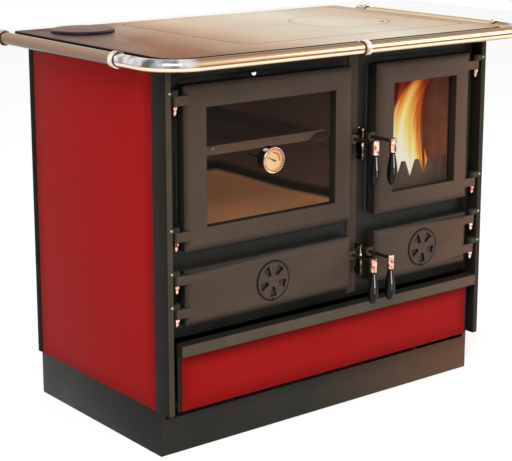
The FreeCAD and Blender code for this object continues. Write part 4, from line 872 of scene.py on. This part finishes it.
def fire_colours(name, core, heat, reach, strength):
    """Fire on a sheet's own UV map: hottest at the foot along one line, and streaked upward."""
    material, tree, shader = blank(name)
    sheet = tree.nodes.new("ShaderNodeTexCoord").outputs["UV"]
    across, up, unused = split(tree, sheet)
    streaks = tree.nodes.new("ShaderNodeMapping")
    streaks.inputs["Scale"].default_value = (6.0, 0.9, 1)
    tree.links.new(sheet, streaks.inputs["Vector"])
    flicker = count(tree, "SUBTRACT", noise(tree, streaks.outputs["Vector"], 1.3, 4, 0.7), 0.5)
    off_core = count(tree, "ABSOLUTE", count(tree, "SUBTRACT", across, core))
    warmth = count(tree, "MULTIPLY_ADD", off_core, -1.15, heat)
    warmth = count(tree, "MULTIPLY_ADD", up, -reach, warmth)
    warmth = count(tree, "MULTIPLY_ADD", flicker, 0.95, warmth)
    burning = ramp_of(tree, warmth, stops(
        (0.0, 84, 26, 16), (0.16, 136, 44, 24), (0.3, 196, 88, 32), (0.44, 238, 150, 62),
        (0.58, 250, 204, 108), (0.74, 252, 236, 144), (0.9, 255, 250, 226)))
    tree.links.new(burning, shader.inputs["Emission Color"])
    set_inputs(shader, {"Emission Strength": strength, "Base Color": (0, 0, 0, 1), "Specular IOR Level": 0})
    # It is clear along both sides and at its tip.
    from_edge = count(tree, "MINIMUM", across, count(tree, "SUBTRACT", 1.0, across))
    from_edge = count(tree, "MULTIPLY_ADD", flicker, 0.3, from_edge)
    tip = rescale(tree, count(tree, "MULTIPLY_ADD", flicker, 0.5, up), 1.0, 0.8)
    tree.links.new(count(tree, "MULTIPLY", rescale(tree, from_edge, 0.02, 0.16), tip),
                   shader.inputs["Alpha"])
    return material


def flame(name, depth, rows, material):
    """A sheet of flame: a grid whose rows are placed and narrowed one by one, then stood upright.
    Each row is its height, middle, half width and how far it leans to the rear, in millimetres."""
    bpy.ops.mesh.primitive_grid_add(x_subdivisions=FLAME_COLUMNS, y_subdivisions=len(rows) - 1, size=2)
    piece = bpy.context.object
    piece.name = name
    begin_edit()
    for number, (height, middle, half, lean) in enumerate(rows):
        pick("VERT", lambda place, point: point.index // (FLAME_COLUMNS + 1) == number)
        height_so_far = -1 + 2 * number / (len(rows) - 1)
        bpy.ops.transform.resize(value=(half * MM, 1, 1), center_override=(0, 0, 0))
        bpy.ops.transform.translate(value=(middle * MM, height * MM - height_so_far, -lean * MM))
    end_edit()
    piece.rotation_euler = TO_FRONT
    piece.location = at(0, depth, 0)
    alone(piece)
    bpy.ops.object.transform_apply(location=True, rotation=True, scale=True)
    worked(piece, "SUBSURF", levels=2, render_levels=2)
    bpy.ops.object.shade_smooth()
    fit(piece, material, "firebrick")


main_fire = fire_colours("main_fire", core=0.36, heat=1.24, reach=0.86, strength=1.0)
low_fire = fire_colours("low_fire", core=0.5, heat=0.8, reach=0.6, strength=1.0)
dull_fire = fire_colours("dull_fire", core=0.5, heat=0.42, reach=0.35, strength=0.8)
flame("flame_tall", 64, ((446, 266, 84, 0), (505, 270, 80, 0), (548, 262, 66, 2), (583, 266, 62, 4),
                         (618, 266, 62, 6), (646, 274, 60, 8), (676, 286, 58, 10), (703, 304, 54, 12),
                         (725, 326, 46, 14), (742, 344, 34, 16)), main_fire)
flame("flame_side", 58, ((446, 330, 20, 0), (500, 330, 18, 0), (530, 328, 15, 2), (556, 324, 10, 4),
                         (574, 320, 4, 5)), low_fire)
flame("flame_left", 70, ((446, 196, 44, 0), (500, 192, 42, 2), (550, 186, 34, 5), (600, 190, 26, 8),
                         (640, 196, 16, 10), (668, 200, 6, 12)), low_fire)
flame("flame_rear_left", 150, ((446, 210, 52, 0), (520, 214, 46, 4), (590, 222, 34, 8), (650, 216, 20, 14),
                               (700, 224, 8, 18)), dull_fire)
flame("flame_rear_right", 170, ((446, 312, 50, 0), (520, 316, 44, 4), (590, 308, 30, 8), (650, 314, 16, 14),
                                (690, 318, 5, 18)), dull_fire)
flame("flame_glow", 84, ((500, 262, 64, 0), (560, 258, 62, 0), (620, 262, 62, 2), (680, 268, 60, 4),
                         (728, 280, 62, 6), (744, 288, 62, 8)), dull_fire)

# Doors. Castings with a broad shallow bevel round the face and soft corners. The two glazed ones
# have a rebate behind with the glass, its rope seal and clips.

# The left, right, bottom and top edges of each door, without its lugs.
DOORS = {"oven_door": (-409.5, 43.5, 443, 787), "fire_door": (114.5, 409.5, 443, 787),
         "under_oven_door": (-409.5, 43.5, 285, 405), "ash_door": (114.5, 409.5, 285, 405)}
CORNER_REACH = 9
CORNER_RADIUS = 8
DOOR_ROUNDING = 1.6

door_iron = finish("door_iron", mottled((74, 61, 51), (84, 69, 58)), 11, (0.45, 0.56), 500, 0.07,
                   gloss=0.15)


def paint_reflection_and_shade(material):
    """Paints a warm reflection on a casting toward the fire's side, and paints shade on its bevels and
    sides, so that its flat faces stay lighter.
    """
    shade(material, places, ACROSS, 0.12, 0.52, tone(112, 80, 62), most=0.75)
    shade(material, facing, DEPTH, -0.99, -0.8, tone(42, 37, 32))


def corner_test(left, right, bottom, top):
    """A test for pick(), which passes the front to rear edges at the corners of a door."""
    def at_corner(middle, edge):
        near_side = min(abs(middle.x - left), abs(middle.x - right)) < CORNER_REACH
        near_end = min(abs(middle.z - bottom), abs(middle.z - top)) < CORNER_REACH
        along = (edge.verts[0].co - edge.verts[1].co).normalized()
        return near_side and near_end and abs(along.y) > 0.2
    return at_corner


# Painted reflection and shade on the doors.
paint_reflection_and_shade(door_iron)
for door, edges in DOORS.items():
    casting = whole_copy(door, door + "_cast")
    begin_edit()
    pick("EDGE", corner_test(*edges))
    bpy.ops.mesh.bevel(offset=CORNER_RADIUS * MM, segments=5, affect="EDGES", clamp_overlap=True)
    end_edit()
    fit(rounded(casting, DOOR_ROUNDING), door_iron, "brown_iron", door, door)

smoked_glass, glass_tree, pane = blank("smoked_glass")
glass_soot = ramp_of(glass_tree, noise(glass_tree, spot(glass_tree), 9, 4),
                     mottled((30, 22, 18), (44, 32, 26)))
glass_tree.links.new(glass_soot, pane.inputs["Base Color"])
set_inputs(pane, {"Roughness": 0.03, "Specular IOR Level": 0.08, "Alpha": 0.12})
dress(smoked_glass, "oven_glass", "fire_glass")
rope_grey = finish("rope_grey", mottled((74, 70, 64), (104, 98, 90)), 180, (0.9, 1.0), 900, 0.6)
dress(rope_grey, "oven_seal", "fire_seal")
dress(base_black, "oven_glass_clips", "fire_glass_clips")

# Air rosettes. Cast discs with five openings that turn over the holes in the two lower doors.

ROSETTE_HEIGHT = 0.345
ROSETTE_MIDDLES = (0.262, -0.183)
ROSETTE_RIM = 0.0395
RIM_WIDTH = 0.002
rosette_iron = finish("rosette_iron", mottled((72, 60, 51), (88, 72, 62)), 60, (0.4, 0.52), 500, 0.08,
                      gloss=0.15)


def from_centre(tree, across, height):
    """How far a point is from a centre, by its places across and up from it."""
    squares = (count(tree, "MULTIPLY", across, across), count(tree, "MULTIPLY", height, height))
    return count(tree, "SQRT", count(tree, "ADD", *squares))


def rim_shadow(tree, colour):
    """The rosette is dark where it is dished under its rim."""
    across, depth, height = places(tree)
    rise = count(tree, "SUBTRACT", height, ROSETTE_HEIGHT)
    radii = [from_centre(tree, count(tree, "SUBTRACT", across, middle), rise) for middle in ROSETTE_MIDDLES]
    under_rim = rescale(tree, count(tree, "MINIMUM", *radii), ROSETTE_RIM, ROSETTE_RIM + RIM_WIDTH)
    return blend_tones(tree, under_rim, colour, tone(30, 27, 24))


repaint(rosette_iron, rim_shadow)
# Painted shade on the faces that do not look to the front.
shade(rosette_iron, facing, DEPTH, -0.99, -0.8, tone(22, 20, 18))
dress(rosette_iron, "under_oven_rosette", "ash_rosette")

# Hinges. A pin hangs in a knuckle on the post and goes down through each lug of the door, with a
# turned nut under it. A domed screw holds each knuckle to its post.

LUG_HEIGHTS = (748, 468, 377, 306)
PIN_SIDE, PIN_DEPTH = 430, 8
PIN_GAP = 0.2
SCREW_SIDE, SCREW_RISE = 446.5, 27
PIN = ((32.2, 2.9), (0, 2.9), (-0.2, 4.4), (-1.2, 6.0), (-5, 6.6), (-8, 5.8), (-9.4, 4.2), (-11, 4.4),
       (-14, 4.6), (-17, 3.4), (-20, 1.0))
KNUCKLE_DOME = ((0, 3.1), (0.9, 3.1), (1.8, 2.4), (2.4, 1.2), (2.6, 0.4))

hinge_copper = finish("hinge_copper",
                      stops((0.36, 120, 62, 44), (0.46, 226, 164, 144), (0.6, 250, 226, 210)),
                      110, (0.12, 0.24), 400, 0.02, metal=0.95)
pin_spots = [at(sign * PIN_SIDE, PIN_DEPTH, z - PIN_GAP) for sign in (-1, 1) for z in LUG_HEIGHTS]
fit(copies(turned("hinge_pins_turned", PIN), pin_spots), hinge_copper, "brass", "cooker", "hinge_pins")
dress(frame_iron, "hinge_knuckles")
screw_spots = [at(sign * SCREW_SIDE, 0, z + SCREW_RISE) for sign in (-1, 1) for z in LUG_HEIGHTS]
knuckle_screws = copies(turned("knuckle_screws", KNUCKLE_DOME), screw_spots, TO_FRONT)
fit(knuckle_screws, screw_zinc, "nickel")

# Latches and handles. Bright steel keepers stand on the stile. Each handle is a dark spindle with a
# coppered ferrule at its outer end and a black turned grip under it.

# How far across and how high the ferrule of each handle is.
HANDLES = {"oven_handle": (53.5, 624), "fire_handle": (104.5, 624), "under_oven_handle": (53.5, 359),
           "ash_handle": (104.5, 359)}
FERRULE_DEPTH = -60
FERRULE = ((7.6, 5.0), (7.3, 7.2), (6.4, 8.0), (-5, 8.0), (-6, 7.7), (-7, 8.0), (-21, 8.0), (-22.6, 8.4),
           (-24, 7.9), (-24.2, 6.6))

bright_steel = finish("bright_steel", mottled((236, 226, 214), (244, 236, 226)), 40, (0.1, 0.2), 400, 0.01,
                      metal=1.0)
dress(bright_steel, "damper")
keeper_steel = finish("keeper_steel", stops((0.42, 52, 45, 40), (0.52, 120, 98, 84), (0.6, 236, 220, 206)),
                      75, (0.15, 0.25), 400, 0.01, metal=1.0)
dress(keeper_steel, "latch_keepers")
spindle_steel = finish("spindle_steel", mottled((40, 36, 32), (74, 64, 56)), 60, (0.25, 0.35), 400, 0.01,
                       metal=0.6)
grip_black = finish("grip_black", mottled((10, 12, 11), (16, 18, 17)), 30, (0.08, 0.12), 300, 0.002,
                    gloss=0.2)


def glint(tree, colour):
    """A pale glint down the front of each grip."""
    across, depth, height = facing(tree)
    shoulder = rescale(tree, height, 0.06, 0.12)
    strip = rescale(tree, count(tree, "ABSOLUTE", count(tree, "ADD", across, 0.35)), 0.16, 0.06)
    return blend_tones(tree, count(tree, "MULTIPLY", shoulder, strip), colour, tone(208, 196, 188))


# A brown reflection is painted on the faces of each grip that look to the right.
shade(grip_black, facing, ACROSS, 0.5, 0.9, tone(112, 82, 66))
repaint(grip_black, glint)
for handle, (across, height) in HANDLES.items():
    dress(spindle_steel, handle + "_stem")
    dress(grip_black, handle + "_grip")
    ferrule = copies(turned(handle + "_ferrule", FERRULE), [at(across, FERRULE_DEPTH, height)])
    fit(ferrule, hinge_copper, "brass", handle)

# Thermometer. A black drum on the oven glass with a bright bezel, a printed paper dial and a needle.

GAUGE = at(-183, 0, 608.5)
BEZEL = ((0, 28.2), (2.6, 28.2), (3.4, 27.6), (3.7, 26.8), (3.3, 25.9), (0.4, 25.7))
BEZEL_SHEET = 0.25
DIAL = ((0, 25.6), (0.3, 25.6))
TICKS = 24
# The printing on the dial, in metres from its middle, and the ends of the red band as angles.
TICK_START = 0.0200
BAND_INNER, BAND_OUTER = 0.0135, 0.0185
BAND_START, BAND_END = -0.2, 1.7
EDGE_START, EDGE_END = 0.021, 0.0255

case_black = finish("case_black", mottled((16, 22, 20), (30, 36, 33)), 30, (0.2, 0.3), 400, 0.01)


def case_glint(tree, colour):
    """Bright spots on the drum's upper left shoulder."""
    across, depth, height = facing(tree)
    spots = rescale(tree, count(tree, "ABSOLUTE", count(tree, "ADD", across, 0.55)), 0.16, 0.08)
    upper = rescale(tree, height, 0.3, 0.5)
    front = rescale(tree, places(tree)[DEPTH], at(0, 16, 0).y, at(0, 10, 0).y)
    share = count(tree, "MULTIPLY", count(tree, "MULTIPLY", spots, upper), front)
    return blend_tones(tree, share, colour, tone(236, 226, 214))


repaint(case_black, case_glint)
dress(case_black, "thermometer_case")
needle_brown = finish("needle_brown", mottled((74, 44, 24), (90, 56, 32)), 60, (0.4, 0.5), 400, 0.01)
dress(needle_brown, "thermometer_needle")
bezel = copies(turned("thermometer_bezel", BEZEL, 48), [GAUGE], TO_FRONT)
begin_edit()
# The discs that close the ring at both ends come out.
pick("FACE", lambda middle, face: len(face.verts) > 8)
bpy.ops.mesh.delete(type="FACE")
end_edit()
worked(bezel, "SOLIDIFY", thickness=BEZEL_SHEET * MM)
bezel_rose = finish("bezel_rose", mottled((196, 130, 112), (240, 216, 200)), 50, (0.1, 0.2), 300, 0.01,
                    metal=0.9)
fit(settle(bezel), bezel_rose, "chrome", "oven_door")

dial_paper = finish("dial_paper", mottled((236, 196, 140), (244, 214, 164)), 40, (0.6, 0.7), 400, 0.005,
                    gloss=0.1)


def printed(tree, colour):
    """Ticks all round, a rosy edge, and a red band for the hottest quarter."""
    across, depth, height = places(tree)
    x = count(tree, "SUBTRACT", across, GAUGE.x)
    z = count(tree, "SUBTRACT", height, GAUGE.z)
    radius = from_centre(tree, x, z)
    angle = count(tree, "ARCTAN2", z, x)
    tick = count(tree, "FRACT", count(tree, "MULTIPLY", angle, TICKS / (2 * math.pi)))
    tick = count(tree, "LESS_THAN", count(tree, "ABSOLUTE", count(tree, "SUBTRACT", tick, 0.5)), 0.12)
    tick = count(tree, "MULTIPLY", tick, count(tree, "GREATER_THAN", radius, TICK_START))
    band = count(tree, "GREATER_THAN", radius, BAND_INNER)
    for limit in (count(tree, "LESS_THAN", radius, BAND_OUTER),
                  count(tree, "GREATER_THAN", angle, BAND_START),
                  count(tree, "LESS_THAN", angle, BAND_END)):
        band = count(tree, "MULTIPLY", band, limit)
    colour = blend_tones(tree, rescale(tree, radius, EDGE_START, EDGE_END), colour, tone(232, 150, 122))
    colour = blend_tones(tree, band, colour, tone(214, 118, 92))
    return blend_tones(tree, tick, colour, tone(120, 66, 40))


repaint(dial_paper, printed)
fit(copies(turned("thermometer_dial", DIAL, 48), [GAUGE], TO_FRONT), dial_paper, "enamelled_steel",
    "oven_door")

# Wood drawer. An enamelled front with a cast ledge over it, on a black steel box that runs on two
# rails.

DRAWER_ROUNDING = 1
LEDGE_ROUNDING = 2
dress(base_black, "drawer_box", "drawer_runners")
# Shade is painted into the drawer front's enamel toward its edges.
drawer_enamel = enamel("enamel_drawer", ACROSS, *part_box("drawer_front"))
stand_in("drawer_front", "drawer_front_enamelled", DRAWER_ROUNDING, drawer_enamel, "red_enamel", "drawer")
ledge_iron = finish("ledge_iron", mottled((82, 72, 61), (94, 82, 70)), 14, (0.42, 0.55), 500, 0.06,
                    gloss=0.15)
# Painted reflection and shade on the ledge, as on the doors.
paint_reflection_and_shade(ledge_iron)
stand_in("drawer_ledge", "drawer_ledge_cast", LEDGE_ROUNDING, ledge_iron, "brown_iron", "drawer")
